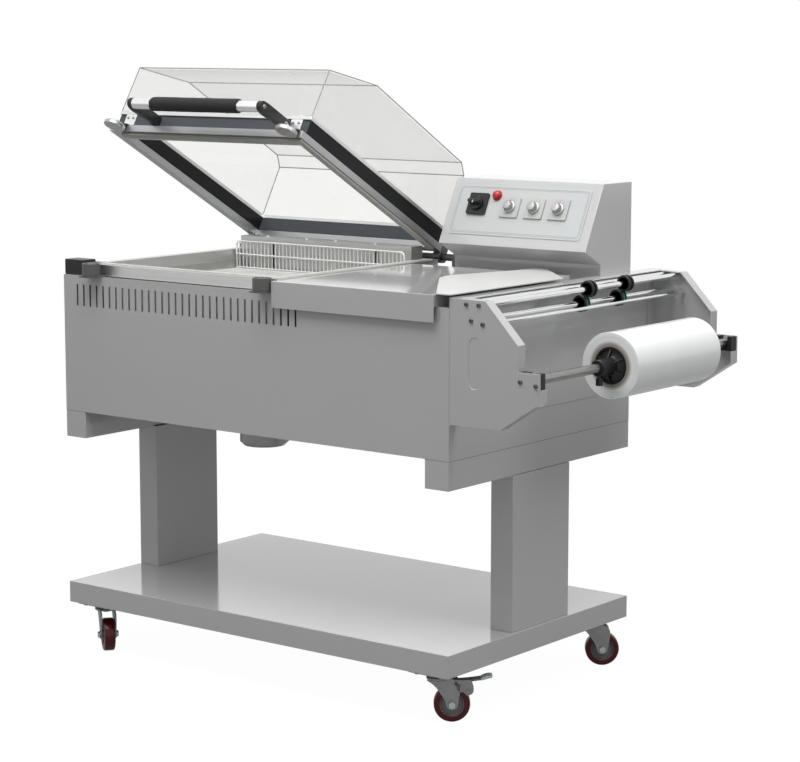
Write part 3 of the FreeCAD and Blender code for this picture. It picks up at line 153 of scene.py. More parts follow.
class Finish:
    """A node tree that is built up by calls."""

    def __init__(self, name, tree=None):
        if tree is None:
            self.material = bpy.data.materials.new(name)
            self.material.use_nodes = True
            tree = self.material.node_tree
        self.tree = tree
        tree.nodes.clear()

    def node(self, kind, settings=None, sockets=None, out=0):
        made = self.tree.nodes.new(kind)
        for key, value in (settings or {}).items():
            setattr(made, key, value)
        for key, value in (sockets or {}).items():
            if isinstance(value, Wire):
                self.tree.links.new(value.socket, made.inputs[key])
            else:
                made.inputs[key].default_value = value
        return Wire(self, made.outputs[out] if len(made.outputs) else None)

    def place(self, stretch=(1, 1, 1), turn=(0, 0, 0), centre=(0, 0, 0)):
        """Object coordinates, stretched, turned or centred."""
        where = self.node("ShaderNodeTexCoord", out=3)
        return self.node("ShaderNodeMapping", None, {"Vector": where, "Scale": stretch,
                                                     "Rotation": turn, "Location": centre})

    def grain(self, scale, detail=3.0, where=None, rough=0.55):
        """Noise from 0 to 1."""
        return self.node("ShaderNodeTexNoise", None,
                         {"Vector": where or self.place(), "Scale": scale, "Detail": detail,
                          "Roughness": rough})

    def spread(self, value, low, high):
        """Stretch the part of a value between two levels to 0 to 1."""
        return self.node("ShaderNodeMapRange", None, {0: value, 1: low, 2: high})

    def tint(self, factor, low, high):
        """Colour between two colours."""
        return self.node("ShaderNodeMix", {"data_type": "RGBA"},
                         {0: factor, 6: (*low, 1), 7: (*high, 1)}, out=2)

    def blend(self, factor, low, high):
        """Colour between two colour wires."""
        return self.node("ShaderNodeMix", {"data_type": "RGBA"}, {0: factor, 6: low, 7: high},
                         out=2)

    def relief(self, height, depth):
        return self.node("ShaderNodeBump", None, {"Height": height, "Distance": depth})

    def skin(self, sockets):
        return self.node("ShaderNodeBsdfPrincipled", None, sockets)

    def close(self, shader):
        self.node("ShaderNodeOutputMaterial", None, {0: shader})
        return self.material


print("wires ready")

# %% [markdown]
# ## Light and background
# The photograph is a cut-out on pure white with soft light from above and from the right. The
# world lights the machine at a plain level, while camera, mirror and clear rays see it as
# white: a Light Path node tells them apart. The floor does the same and keeps a faint shadow,
# but mirrors see it grey, so that upright sheets stay darker than level ones.

# %% World
sky = bpy.data.worlds.new("studio")
scene.world = sky
sky.use_nodes = True
studio = Finish("studio", sky.node_tree)
LIGHT_LEVEL = 0.34


def ray_kinds(finish):
    """Three wires that are 1 for camera, mirror and clear rays, otherwise 0."""
    return [finish.node("ShaderNodeLightPath", out=out) for out in (0, 3, 6)]


camera_ray, mirror_ray, clear_ray = ray_kinds(studio)
white = studio.node("ShaderNodeClamp", None, {0: camera_ray + mirror_ray + clear_ray})
background = studio.node("ShaderNodeBackground", None,
                         {"Color": (1, 1, 1, 1), "Strength": LIGHT_LEVEL + (1 - LIGHT_LEVEL) * white})
studio.node("ShaderNodeOutputWorld", None, {0: background})
scene.view_settings.view_transform = "Standard"

# %% Floor
paper = Finish("studio_floor")
matt = paper.skin({"Base Color": (0.28, 0.28, 0.28, 1), "Roughness": 0.9})
glow = paper.node("ShaderNodeEmission", None, {"Color": (1, 1, 1, 1), "Strength": 1.16})
camera_ray, mirror_ray, clear_ray = ray_kinds(paper)
shown = paper.node("ShaderNodeClamp", None, {0: 0.84 * (camera_ray + clear_ray) + 0.28 * mirror_ray})
paper_shader = paper.node("ShaderNodeMixShader", None, {0: shown, 1: matt, 2: glow})
bm = bmesh.new()
bmesh.ops.create_grid(bm, x_segments=1, y_segments=1, size=14)
floor_mesh = bpy.data.meshes.new("studio_floor")
bm.to_mesh(floor_mesh)
bm.free()
floor = bpy.data.objects.new("studio_floor", floor_mesh)
scene.collection.objects.link(floor)
floor_mesh.materials.append(paper.close(paper_shader))


# %% Soft lamps
def softbox(name, place, aim, size, power):
    """Large square lamp that looks at a point."""
    lamp = bpy.data.objects.new(name, bpy.data.lights.new(name, "AREA"))
    lamp.data.shape = "SQUARE"
    lamp.data.size = size
    lamp.data.energy = power
    lamp.location = place
    lamp.rotation_euler = (Vector(place) - Vector(aim)).to_track_quat("Z", "Y").to_euler()
    scene.collection.objects.link(lamp)
    return lamp


softbox("overhead", (0.1, -0.9, 3.2), (0, 0, 0.8), 2.2, 76)
softbox("right_hand", (2.0, 0.1, 2.6), (0.2, 0, 0.7), 1.2, 21)
softbox("left_front", (-2.0, -3.4, 2.4), (0, 0, 0.6), 1.6, 6)

# %% [markdown]
# ## Finishes of the sheet metal
# The cabinet, shelf, posts, table and boxes are folded sheet with a glossy light grey powder
# coat. Up close such a coat is never flat: it has a fine orange-peel relief, and its gloss
# varies a little where it was thicker or has been wiped. Both are noise, kept very shallow.

# %% Powder coat
coat = Finish("light_grey_powder_coat")
wiped = coat.grain(7, 4)
POWDER = coat.close(coat.skin({
    "Base Color": coat.tint(wiped, (0.485, 0.488, 0.487), (0.505, 0.508, 0.506)),
    "Roughness": 0.1 + 0.05 * coat.grain(30, 5),
    "Normal": coat.relief(coat.grain(420, 2), 0.00003),
    "Specular IOR Level": 0.6, "Coat Weight": 0.6, "Coat Roughness": 0.06}))

# %% [markdown]
# ## Finishes of the bare metals
# Stainless sheet and aluminium bar show drawn lines along their length: the same noise,
# squeezed hard across one direction. Zinc plating is mottled, and bright plating is almost a
# mirror. Metal has no colour of its own besides its reflections, so Metallic stays at 1.


# %% Bare metals
def drawn_metal(name, low, high, rough, stretch, turn=(0, 0, 0)):
    """Metal with fine lines along one direction."""
    bar = Finish(name)
    lines = bar.grain(60, 4, bar.place(stretch, turn))
    cloud = bar.grain(5, 3)
    return bar.close(bar.skin({
        "Base Color": bar.tint(lines, low, high), "Metallic": 1.0,
        "Roughness": rough + 0.14 * lines + 0.1 * cloud,
        "Normal": bar.relief(lines, 0.00003)}))


STAINLESS = drawn_metal("stainless_sheet", (0.46, 0.46, 0.45), (0.62, 0.62, 0.6), 0.24, (0.4, 12, 12))
ALUMINIUM = drawn_metal("satin_aluminium_bar", (0.6, 0.6, 0.6), (0.78, 0.78, 0.77), 0.22, (0.3, 14, 14))
ALUMINIUM_TUBE = drawn_metal("satin_aluminium_tube", (0.72, 0.72, 0.72), (0.86, 0.86, 0.86), 0.2,
                             (0.3, 12, 12))

zinc = Finish("zinc_plated_steel")
spangle = zinc.node("ShaderNodeTexVoronoi", None, {"Vector": zinc.place(), "Scale": 160.0})
patch = zinc.grain(24, 4)
ZINC = zinc.close(zinc.skin({
    "Base Color": zinc.tint(patch, (0.17, 0.173, 0.175), (0.33, 0.333, 0.33)), "Metallic": 1.0,
    "Roughness": 0.3 + 0.16 * patch + 0.08 * spangle,
    "Normal": zinc.relief(zinc.grain(300, 3), 0.00004)}))

DARK_STEEL = drawn_metal("dark_steel_bolt", (0.1, 0.1, 0.105), (0.17, 0.17, 0.175), 0.26, (3, 3, 3))
SHAFT_STEEL = drawn_metal("ground_steel_shaft", (0.22, 0.217, 0.213), (0.34, 0.336, 0.332), 0.16,
                          (8, 0.4, 8))
NUT_STEEL = drawn_metal("bright_steel_nut", (0.4, 0.42, 0.44), (0.56, 0.58, 0.6), 0.16, (6, 6, 6))

RAIL = drawn_metal("mill_aluminium_rail", (0.36, 0.365, 0.375), (0.5, 0.505, 0.51), 0.28, (0.3, 14, 14))
KNOB = drawn_metal("satin_knob", (0.3, 0.3, 0.3), (0.46, 0.46, 0.455), 0.3, (6, 6, 6))
WIRE = drawn_metal("satin_plated_wire", (0.8, 0.8, 0.79), (0.92, 0.92, 0.91), 0.3, (5, 5, 5))

plate_shine = Finish("bright_plated_bar")
hairline = plate_shine.grain(200, 2)
CHROME = plate_shine.close(plate_shine.skin({
    "Base Color": plate_shine.tint(hairline, (0.74, 0.75, 0.75), (0.84, 0.84, 0.84)),
    "Metallic": 1.0, "Roughness": 0.07 + 0.07 * hairline}))

# %% [markdown]
# ## Finishes of plastic, rubber, foam and film
# Moulded black plastic and painted iron are dark but not black, with a fine texture that
# breaks the highlights. Foam has open pores, which a Voronoi texture gives. The film roll is
# hundreds of clear layers, so it is pale, soft and glossy at once, with rings on its ends.


# %% Moulded and coated finishes
def moulded(name, low, high, rough, pores, depth, extra=None):
    """Plastic or rubber with a fine surface texture."""
    stuff = Finish(name)
    cloud = stuff.grain(9, 4)
    fine = stuff.grain(pores, 3)
    sockets = {"Base Color": stuff.tint(cloud, low, high), "Roughness": rough + 0.12 * fine,
               "Normal": stuff.relief(fine, depth)}
    sockets.update(extra or {})
    return stuff.close(stuff.skin(sockets))


BLACK = moulded("black_moulded_plastic", (0.01, 0.01, 0.011), (0.018, 0.018, 0.019), 0.3, 900, 0.00003,
                {"Specular IOR Level": 0.36})
IRON = moulded("painted_iron", (0.075, 0.075, 0.075), (0.12, 0.12, 0.12), 0.38, 380, 0.00008)
WHITE = moulded("white_plastic_sheet", (0.76, 0.76, 0.75), (0.82, 0.82, 0.81), 0.2, 260, 0.00001)
MILKY = moulded("milky_plastic_sheet", (0.56, 0.56, 0.555), (0.63, 0.63, 0.62), 0.24, 260, 0.00001)
PALE_PLASTIC = moulded("pale_dial_plastic", (0.42, 0.42, 0.415), (0.52, 0.52, 0.51), 0.26, 700, 0.00001)
TREAD = moulded("maroon_wheel_tread", (0.07, 0.003, 0.005), (0.12, 0.006, 0.008), 0.16, 240, 0.00003,
                {"Specular IOR Level": 0.3})
CORE_GREY = moulded("grey_wheel_core", (0.14, 0.14, 0.145), (0.22, 0.22, 0.225), 0.3, 300, 0.00004)
PANEL_FILM = moulded("pale_panel_film", (0.46, 0.475, 0.475), (0.5, 0.515, 0.515), 0.34, 800,
                     0.000008)
GREEN = moulded("green_belt_cord", (0.015, 0.22, 0.12), (0.02, 0.3, 0.16), 0.4, 500, 0.00002)
SILICONE = moulded("seal_pad_rubber", (0.3, 0.29, 0.27), (0.4, 0.39, 0.37), 0.5, 400, 0.00004)
RED_LENS = moulded("red_lamp_lens", (0.34, 0.006, 0.012), (0.46, 0.01, 0.018), 0.3, 60, 0.00001,
                   {"Coat Weight": 0.2})
INK = moulded("printed_mark", (0.03, 0.03, 0.03), (0.06, 0.06, 0.06), 0.4, 300, 0.000005)
BLUE_GREY_INK = moulded("printed_border", (0.1, 0.11, 0.13), (0.16, 0.17, 0.19), 0.4, 300, 0.000005)

foam = Finish("black_foam")
pore = foam.node("ShaderNodeTexVoronoi", None, {"Vector": foam.place(), "Scale": 700.0})
FOAM = foam.close(foam.skin({
    "Base Color": foam.tint(foam.grain(60, 4), (0.006, 0.006, 0.006), (0.016, 0.016, 0.016)),
    "Roughness": 0.78 + 0.2 * pore, "Normal": foam.relief(pore, 0.0004)}))

# %% Hood band: painted black, with a painted sheen: faces turned to the operator are coloured a lighter streaked grey
band = Finish("painted_band")
facing = band.node("ShaderNodeVectorMath", {"operation": "DOT_PRODUCT"},
                   {0: band.node("ShaderNodeTexCoord", out=1), 1: (0, -0.87, 0.49)}, out=1)
# painted sheen: faces whose normal points forward and up get a lighter grey, as if lit, and the rest stay black
painted_front_sheen = band.spread(facing, 0.7, 0.9)
streaks = band.grain(70, 4, band.place((0.2, 12, 12)))
BAND_BLACK = band.close(band.skin({
    "Base Color": band.blend(painted_front_sheen, band.tint(streaks, (0.008, 0.008, 0.009), (0.013, 0.013, 0.014)),
                             band.tint(streaks, (0.035, 0.038, 0.045), (0.085, 0.09, 0.1))),
    "Roughness": 0.34 + 0.14 * streaks, "Normal": band.relief(streaks, 0.00003),
    "Specular IOR Level": 0.16}))

# %% Sealing tape: a woven, coated cloth
tape = Finish("woven_sealing_tape")
weave_x = tape.node("ShaderNodeTexWave", {"bands_direction": "X"},
                    {"Vector": tape.place(), "Scale": 260.0, "Distortion": 0.4})
weave_y = tape.node("ShaderNodeTexWave", {"bands_direction": "Y"},
                    {"Vector": tape.place(), "Scale": 260.0, "Distortion": 0.4})
cloth = weave_x * weave_y
TAPE = tape.close(tape.skin({
    "Base Color": tape.tint(cloth, (0.5, 0.49, 0.46), (0.62, 0.61, 0.58)),
    "Roughness": 0.42 + 0.1 * tape.grain(40), "Normal": tape.relief(cloth, 0.00006)}))

# %% [markdown]
# The film's rings follow the distance from the roll's own axis, whatever the camera does: a
# Vector Math node takes the length of the position after its y has been cleared.

# %% Film and paper core
ROLL_X, ROLL_Z = 1275 * MM - 0.6715, 727 * MM


def wound(name, low, high, rough, ring_scale, extra):
    """Material wound in layers round the roll's axis."""
    stuff = Finish(name)
    across = stuff.place((1, 0, 1), centre=(-ROLL_X, 0, -ROLL_Z))
    distance = stuff.node("ShaderNodeVectorMath", {"operation": "LENGTH"}, {0: across}, out=1)
    rings = stuff.node("ShaderNodeTexNoise", {"noise_dimensions": "1D"},
                       {"W": ring_scale * distance, "Scale": 1.0, "Detail": 3.0})
    bands = stuff.grain(14, 3, stuff.place((0.2, 1, 0.2)))
    pale = stuff.tint(0.6 * rings + 0.4 * bands, low, high)
    inner_shade = stuff.spread(distance, 0.043, 0.051)
    sockets = {"Base Color": stuff.blend(inner_shade, (0.3, 0.27, 0.245, 1), pale),
               "Roughness": rough + 0.14 * bands, "Normal": stuff.relief(rings + 0.2 * bands, 0.0002)}
    sockets.update(extra)
    return stuff.close(stuff.skin(sockets))


FILM = wound("wound_clear_film", (0.84, 0.85, 0.85), (0.96, 0.97, 0.97), 0.16, 1500,
             {"Coat Weight": 0.4, "Coat Roughness": 0.08})
PAPER = wound("wound_paper_core", (0.17, 0.15, 0.135), (0.3, 0.27, 0.24), 0.7, 2500, {})

# %% [markdown]
# ## The clear cover's finish
# Clear acrylic is seen by its edges and its reflections. A mix of a see-through shader and a
# mirror, with the Fresnel node as the factor, gives both, and a thin grey haze stands for the
# fine scratches and dust of a cover in use. It renders faster than real refraction, and a
# wall of 4 mm bends the view too little to miss it.

# %% Clear acrylic
clear = Finish("clear_acrylic")
scratches = clear.grain(26, 6, clear.place((1, 3, 1)))
smears = clear.grain(5, 5, clear.place((1, 0.4, 1.4)))
see_through = clear.node("ShaderNodeBsdfTransparent", None, {"Color": (0.96, 0.959, 0.956, 1)})
mirror = clear.node("ShaderNodeBsdfGlossy", None, {"Color": (1, 1, 1, 1), "Roughness": 0.03})
outside = 1 - clear.node("ShaderNodeNewGeometry", out=6)
glass = clear.node("ShaderNodeMixShader", None,
                   {0: outside * clear.node("ShaderNodeFresnel", None, {"IOR": 1.49}),
                    1: see_through, 2: mirror})
haze = clear.node("ShaderNodeBsdfDiffuse", None, {"Color": (0.74, 0.73, 0.71, 1), "Roughness": 0.0})
CLEAR = clear.close(clear.node("ShaderNodeMixShader", None,
                               {0: 0.03 * scratches + 0.05 * smears, 1: glass, 2: haze}))

# %% Folded and cut edges of the acrylic, with painted shade: grey lines where light leaves the sheet
edge = Finish("acrylic_edge")
dust = edge.grain(80, 3)
painted_edge_shade = edge.skin({"Base Color": edge.tint(dust, (0.2, 0.2, 0.2), (0.36, 0.36, 0.35)),
                     "Roughness": 0.4 + 0.2 * dust})
EDGE = edge.close(edge.node("ShaderNodeMixShader", None, {
    0: 0.55 + 0.2 * dust, 1: edge.node("ShaderNodeBsdfTransparent", None, {"Color": (0.9, 0.9, 0.9, 1)}),
    2: painted_edge_shade}))

FINISH_OF_SLOT = {
    "painted_sheet": POWDER, "stainless": STAINLESS, "aluminium_bar": ALUMINIUM,
    "black_plastic": BLACK, "zinc_steel": ZINC, "chrome_bar": CHROME, "cast_pot": IRON,
    "heat_tape": TAPE, "silicone": SILICONE, "foam": FOAM, "clear_sheet": CLEAR,
    "white_plastic": WHITE, "red_lens": RED_LENS, "cardboard": PAPER, "film": FILM,
    "green_rubber": GREEN, "wheel_tread": TREAD,
}
print(len(bpy.data.materials), "finishes")

# %% [markdown]
# ## Carrying the solids over
# Solids that are seen only in glimpses keep their own mesh and just get the finish of their
# slot. A CAD mesh is loose triangles with knife-sharp edges, so the pieces that are looked at
# are copied, merged into flat faces again and given a small bevel, which catches the light as
# a real folded or sawn edge does.

# %% Finishes of all solids
for name, thing in NODES.items():
    thing.data.materials.clear()
    thing.data.materials.append(FINISH_OF_SLOT[SLOT_OF[name]])
print(len(NODES), "solids carried over")


# %% Helpers: from a bmesh to a piece
def finished(name, bm, place, body, finish, replaced=(), smooth=35):
    """Piece from a bmesh in millimetres: put in its place, smoothed, and set on its body."""
    bmesh.ops.transform(bm, matrix=place, verts=bm.verts)
    mesh = bpy.data.meshes.new(name)
    bm.to_mesh(mesh)
    bm.free()
    mesh.polygons.foreach_set("use_smooth", [True] * len(mesh.polygons))
    mesh.set_sharp_from_angle(angle=math.radians(smooth))
    mesh.materials.append(finish)
    piece = bpy.data.objects.new(name, mesh)
    scene.collection.objects.link(piece)
    weighted = piece.modifiers.new("flat_faces_stay_flat", "WEIGHTED_NORMAL")
    weighted.keep_sharp = True
    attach(piece, body)
    if replaced:
        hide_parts(*replaced)
    return piece


def soften(bm, width, segments=2, above=35, only=None):
    """Round the edges whose faces meet at more than an angle."""
    edges = [edge for edge in bm.edges if edge.is_manifold
             and edge.calc_face_angle() > math.radians(above) and (only is None or only(edge))]
    bmesh.ops.bevel(bm, geom=edges, offset=width, offset_type="OFFSET", segments=segments,
                    profile=0.5, affect="EDGES", material=-1, clamp_overlap=True,
                    loop_slide=True)
    return bm


def dressed(node, width, finish=None, above=40):
    """Copy of a solid with merged faces and rounded edges, which stands for it."""
    bm = bmesh.new()
    bm.from_mesh(NODES[node].data)
    bmesh.ops.remove_doubles(bm, verts=bm.verts, dist=0.00001)
    bmesh.ops.dissolve_limit(bm, angle_limit=math.radians(0.4), verts=bm.verts, edges=bm.edges)
    shared = [edge for edge in bm.edges if len(edge.link_faces) > 2]    # where solids touch
    bmesh.ops.split_edges(bm, edges=shared)
    if width:
        soften(bm, width * MM, above=above)
    return finished(f"{node}_dressed", bm, Matrix(), NODES[node]["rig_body"],
                    finish or FINISH_OF_SLOT[SLOT_OF[node]], [node])


# %% Folded and sawn pieces get their small edges
SMALL_EDGES = {
    "base_shelf": 1.2, "stand_frame": 1.4, "cabinet_shell": 1.2, "packing_table": 1.4,
    "control_box": 1.4, "film_side_plates": 1.0, "film_back_panel": 0.8, "chamber_rim": 0.8,
    "duct_cover": 0.6, "chamber_liner": 0.6, "hood_clamp_strip": 0.7,
    "terminal_block": 1.6, "hinge_bearings": 1.5, 
    "shaft_blocks": 1.2, "motor_cover": 0.8, "castor_plates": 0.6,
    "clear_cover": 1.2, "sealing_tape": 0.4, "hood_seal_pad": 1.0,
}
for name, width in SMALL_EDGES.items():
    dressed(name, width)
dressed("hood_band", 0.7, BAND_BLACK)
dressed("hood_base_frame", 0.7, RAIL)
dressed("hinge_shaft", 0.8, DARK_STEEL)
dressed("film_guide_plate", 0.8, MILKY)
dressed("control_panel", 0.4, PANEL_FILM)
dressed("film_shaft", 0, SHAFT_STEEL)
for name in ("basket_grate", "basket_fence"):
    dressed(name, 0, WIRE)
for name in ("film_guide_rods", "roller_rings"):
    dressed(name, 0)
print(len(SMALL_EDGES) + 10, "solids dressed")

# %% [markdown]
# ## Shapes that are turned, cut out or put together
# Most small parts are either turned on a lathe or cut from plate. The first is one profile
# and a spin, the second a flat face whose corners are bevelled and which is then extruded.
# Both keep every measure in millimetres, close to how a drawing of the part would give it.


# %% Turned and cut shapes
def turned(profile, steps=48, closed=True):
    """Turn a profile of (radius, height) pairs about z."""
    bm = bmesh.new()
    verts = [bm.verts.new((radius, 0, height)) for radius, height in profile]
    pairs = list(zip(verts, verts[1:] + verts[:1])) if closed else list(zip(verts, verts[1:]))
    edges = [bm.edges.new(pair) for pair in pairs]
    bmesh.ops.spin(bm, geom=verts + edges, axis=(0, 0, 1), cent=(0, 0, 0), angle=math.tau,
                   steps=steps, use_merge=True)
    bmesh.ops.remove_doubles(bm, verts=bm.verts, dist=0.001)
    bmesh.ops.recalc_face_normals(bm, faces=bm.faces)
    return bm


def cut_out(corners, thickness, segments=4):
    """Plate in the xy plane from corners of (x, y, rounding), extruded upwards."""
    bm = bmesh.new()
    verts = [bm.verts.new((x, y, 0)) for x, y, _ in corners]
    bm.faces.new(verts)
    for radius in sorted({corner[2] for corner in corners} - {0}):
        chosen = [vert for vert, corner in zip(verts, corners) if corner[2] == radius]
        bmesh.ops.bevel(bm, geom=chosen, offset=radius, offset_type="OFFSET", segments=segments,
                        profile=0.5, affect="VERTICES", material=-1, clamp_overlap=True)
    made = bmesh.ops.extrude_face_region(bm, geom=bm.faces[:])
    top = [item for item in made["geom"] if isinstance(item, bmesh.types.BMVert)]
    bmesh.ops.translate(bm, vec=(0, 0, thickness), verts=top)
    bmesh.ops.recalc_face_normals(bm, faces=bm.faces)
    return bm


def put(bm, part, place=Matrix()):
    """Add a shape to another one at a place."""
    bmesh.ops.transform(part, matrix=place, verts=part.verts)
    mesh = bpy.data.meshes.new("part")
    part.to_mesh(mesh)
    part.free()
    bm.from_mesh(mesh)
    bpy.data.meshes.remove(mesh)
    return bm


def round_plate(length, width, thickness, corner, segments=5):
    """Rectangle about the origin with rounded corners."""
    x, y = length / 2, width / 2
    return cut_out([(-x, -y, corner), (x, -y, corner), (x, y, corner), (-x, y, corner)],
                   thickness, segments)


def square_bar(start, end, size):
    """Square bar between two points."""
    start, end = Vector(start), Vector(end)
    bar = round_plate(size, size, (end - start).length, size * 0.2, 1)
    turn = (end - start).to_track_quat("Z", "Y").to_matrix().to_4x4()
    bmesh.ops.transform(bar, matrix=Matrix.Translation(start) @ turn, verts=bar.verts)
    return bar


def pan_screw(radius, height, steps=20):
    """Screw head with a domed top and a cross recess, standing on z = 0."""
    bm = turned([(0, 0), (radius, 0), (radius, height * 0.35), (radius * 0.86, height * 0.75),
                 (radius * 0.5, height), (0, height)], steps, closed=False)
    for turn in (0, 90):
        slot = round_plate(radius * 1.1, radius * 0.22, height * 0.1, radius * 0.05, 1)
        put(bm, slot, Matrix.Rotation(math.radians(turn), 4, "Z") @ at(0, 0, height * 0.94))
    return bm


def socket_head(radius, height):
    """Round bolt head with a six-sided socket, standing on z = 0."""
    bm = turned([(0, 0), (radius, 0), (radius, height - 0.5), (radius - 0.5, height),
                 (radius * 0.5, height), (radius * 0.5, height * 0.4), (0, height * 0.4)], 24,
                closed=False)
    return bm


def hex_head(radius, height):
    """Six-sided bolt head with a chamfered top, standing on z = 0."""
    bm = bmesh.new()
    bmesh.ops.create_cone(bm, cap_ends=True, segments=6, radius1=radius, radius2=radius, depth=height)
    bmesh.ops.translate(bm, vec=(0, 0, height / 2), verts=bm.verts)
    soften(bm, min(radius, height) * 0.14)
    return bm


# %% [markdown]
# ## Castors
# Each castor is a pressed fork under a ball race, with a maroon polyurethane tread on a dark
# core. The tread and the core are two turned rings, and the fork is two cheeks cut from plate
# with a bridge on top. The front right one also has a brake lever with a turned-up tip.

# %% Castor wheels
AXLE = at(27, 0, 37.5)
TREAD_PROFILE = [(25, -11.6), (27, -12.3), (33.6, -12.5), (36.2, -11.4), (37.4, -8.6), (37.5, 0),
                 (37.4, 8.6), (36.2, 11.4), (33.6, 12.5), (27, 12.3), (25, 11.6)]
CORE_PROFILE = [(5.1, -12.5), (10.6, -12.5), (11.4, -11.6), (11.8, -8.2), (14, -7), (21, -7),
                (22.6, -8.2), (23.2, -10.8), (24, -11.4), (25.2, -11.4), (25.2, 11.4),
                (24, 11.4), (23.2, 10.8), (22.6, 8.2), (21, 7), (14, 7), (11.8, 8.2),
                (11.4, 11.6), (10.6, 12.5), (5.1, 12.5)]
for corner in CASTORS:
    place = castor_place(corner) @ AXLE @ ALONG_Y
    finished(f"wheel_tread_{corner}", turned(TREAD_PROFILE, 64), place, f"wheel_{corner}",
             TREAD, [f"castor_wheel_{corner}"])
    core = turned(CORE_PROFILE, 64)
    for spoke in range(5):
        rib = round_plate(10.4, 3, 12, 0.6, 1)
        put(core, rib, Matrix.Rotation(math.tau * spoke / 5, 4, "Z") @ at(17.2, 0, -6))
    finished(f"wheel_core_{corner}", core, place, f"wheel_{corner}", CORE_GREY)
print("wheels", len(CASTORS))

# %% Castor forks
FORK_TOP = 96.7
CHEEK = [(-24, 88.7, 0), (-24, 93.5, 4), (26, 93.5, 8), (43, 86, 8), (44.5, 72, 10), (40.5, 46, 14),
         (38, 27.5, 9), (16, 27.5, 9), (13.5, 46, 16), (-8, 78, 14)]
UPRIGHT = Matrix.Rotation(math.radians(90), 4, "X")
LOBE = [(30, 90, 3), (66, 90, 5), (71, 78, 4), (71, 62, 6), (58, 56, 8), (49, 66, 8), (40, 62, 6)]
for corner in CASTORS:
    fork = bmesh.new()
    nuts = bmesh.new()
    for y in (-14.5, 17.5):
        put(fork, soften(cut_out(CHEEK, 3, 6), 0.7), at(0, y, 0) @ UPRIGHT)
    bridge = soften(cut_out([(-24, -17.5, 5), (27, -17.5, 5), (27, 17.5, 5), (-24, 17.5, 5)], 3.2), 0.8)
    put(fork, bridge, at(0, 0, 90.4))
    crown = turned([(6.1, 89), (23.5, 89), (25.5, 91), (25.5, 93.6), (23.4, 96.2), (6.1, FORK_TOP)])
    put(fork, crown)
    for side in (-1, 1):
        put(nuts, hex_head(7.6, 5), castor_place(corner) @ AXLE
            @ Matrix.Rotation(math.radians(-90 * side), 4, "X") @ at(0, 0, 18.4))
        put(fork, turned([(0, 17.5), (9.6, 17.5), (9.6, 18.6), (0, 18.6)], 32, closed=False),
            AXLE @ Matrix.Rotation(math.radians(-90 * side), 4, "X"))
    put(fork, turned([(0, -14.5), (5, -14.5), (5, 14.5), (0, 14.5)], 24, closed=False), AXLE @ ALONG_Y)
    if corner == "front_right":
        put(fork, soften(cut_out(LOBE, 3, 6), 0.7), at(0, -14.5, 0) @ UPRIGHT)
        put(fork, hex_head(5, 3.4), at(60, -17.5, 66) @ UPRIGHT)
        put(fork, pan_screw(3, 2), at(47, -17.5, 82) @ UPRIGHT)
    finished(f"fork_{corner}", fork, castor_place(corner), f"fork_{corner}", ZINC,
             [f"castor_fork_{corner}"])
    finished(f"axle_nuts_{corner}", nuts, Matrix(), f"fork_{corner}", NUT_STEEL)
print("forks", len(CASTORS))

# %% Brake lever
lever = cut_out([(29, 79.5, 3), (58, 84, 12), (88, 88.5, 10), (88, 92, 0), (57, 88, 12), (29, 86.5, 3)],
                24, 4)
pedal = put(bmesh.new(), soften(lever, 0.8), at(0, 12, 0) @ UPRIGHT)
toe = cut_out([(86, 87.6, 0), (98, 91, 6), (109, 93.8, 0), (109.4, 97, 0), (99, 98.4, 7), (86, 92.4, 0)],
              27, 4)
finished("brake_toe", put(bmesh.new(), soften(toe, 0.7), at(0, 13.5, 0) @ UPRIGHT),
         castor_place("front_right"), "pedal", NUT_STEEL)
put(pedal, turned([(0, -17.5), (2.5, -17.5), (2.5, 17.5), (0, 17.5)], 16, closed=False),
    at(34, 0, 81.7) @ ALONG_Y)
finished("brake_lever", pedal, castor_place("front_right"), "pedal", DARK_STEEL,
         ["brake_pedal"])

# %% [markdown]
# ## The hood's handle
# The operator pulls the hood down by a tube between two black arms, with a foam sleeve in the
# middle. Foam is soft: the sleeve is turned like the tube, then each vertex is moved a little
# by noise, so that it is never quite round and its cut ends are uneven.

# %% Tube and arms
HANDLE = HOOD @ at(0, -654, 35)
tube = turned([(10.5, 0), (11.6, 0), (12, 0.5), (12, 362.5), (11.6, 363), (10.5, 363)], 48)
finished("handle_bar", tube, HANDLE @ at(193, 0, 0) @ ALONG_X, "hood", ALUMINIUM_TUBE,
         ["handle_tube"])
plugs = bmesh.new()
for x, flip in ((193, 180), (556, 0)):
    plug = turned([(0, -6), (10.5, -6), (10.5, 0), (11.2, 0), (11.2, 1.6), (10.2, 2.2), (0, 2.2)], 32,
                  closed=False)
    put(plugs, plug, at(x, 0, 0) @ ALONG_X @ Matrix.Rotation(math.radians(flip), 4, "X"))
finished("handle_plugs", plugs, HANDLE, "hood", BLACK)

# corners of an arm seen from the side: y runs forward from the hinge, z up
ARM = [(-562, 24.2, 3), (-562, 48.2, 5), (-650, 48.2, 11), (-667, 44, 8), (-667, 27, 8), (-650, 20.5, 11),
       (-596, 25, 30)]
arms = bmesh.new()
for x in (181, 556):
    plate = soften(cut_out(ARM, 12, 5), 1.2)
    put(arms, plate, at(x, 0, 0) @ Matrix.Rotation(math.radians(90), 4, "Z") @ UPRIGHT)
finished("handle_arm_plates", arms, HOOD, "hood", BLACK, ["handle_arms"])
arm_screws = bmesh.new()
for x, side in ((181, -1), (568, 1)):
    for y, z in ((-654, 35), (-576, 36)):
        put(arm_screws, pan_screw(5.2, 3), at(x, y, z) @ Matrix.Rotation(math.radians(90 * side), 4, "Y"))
finished("handle_arm_screws", arm_screws, HOOD, "hood", ZINC)

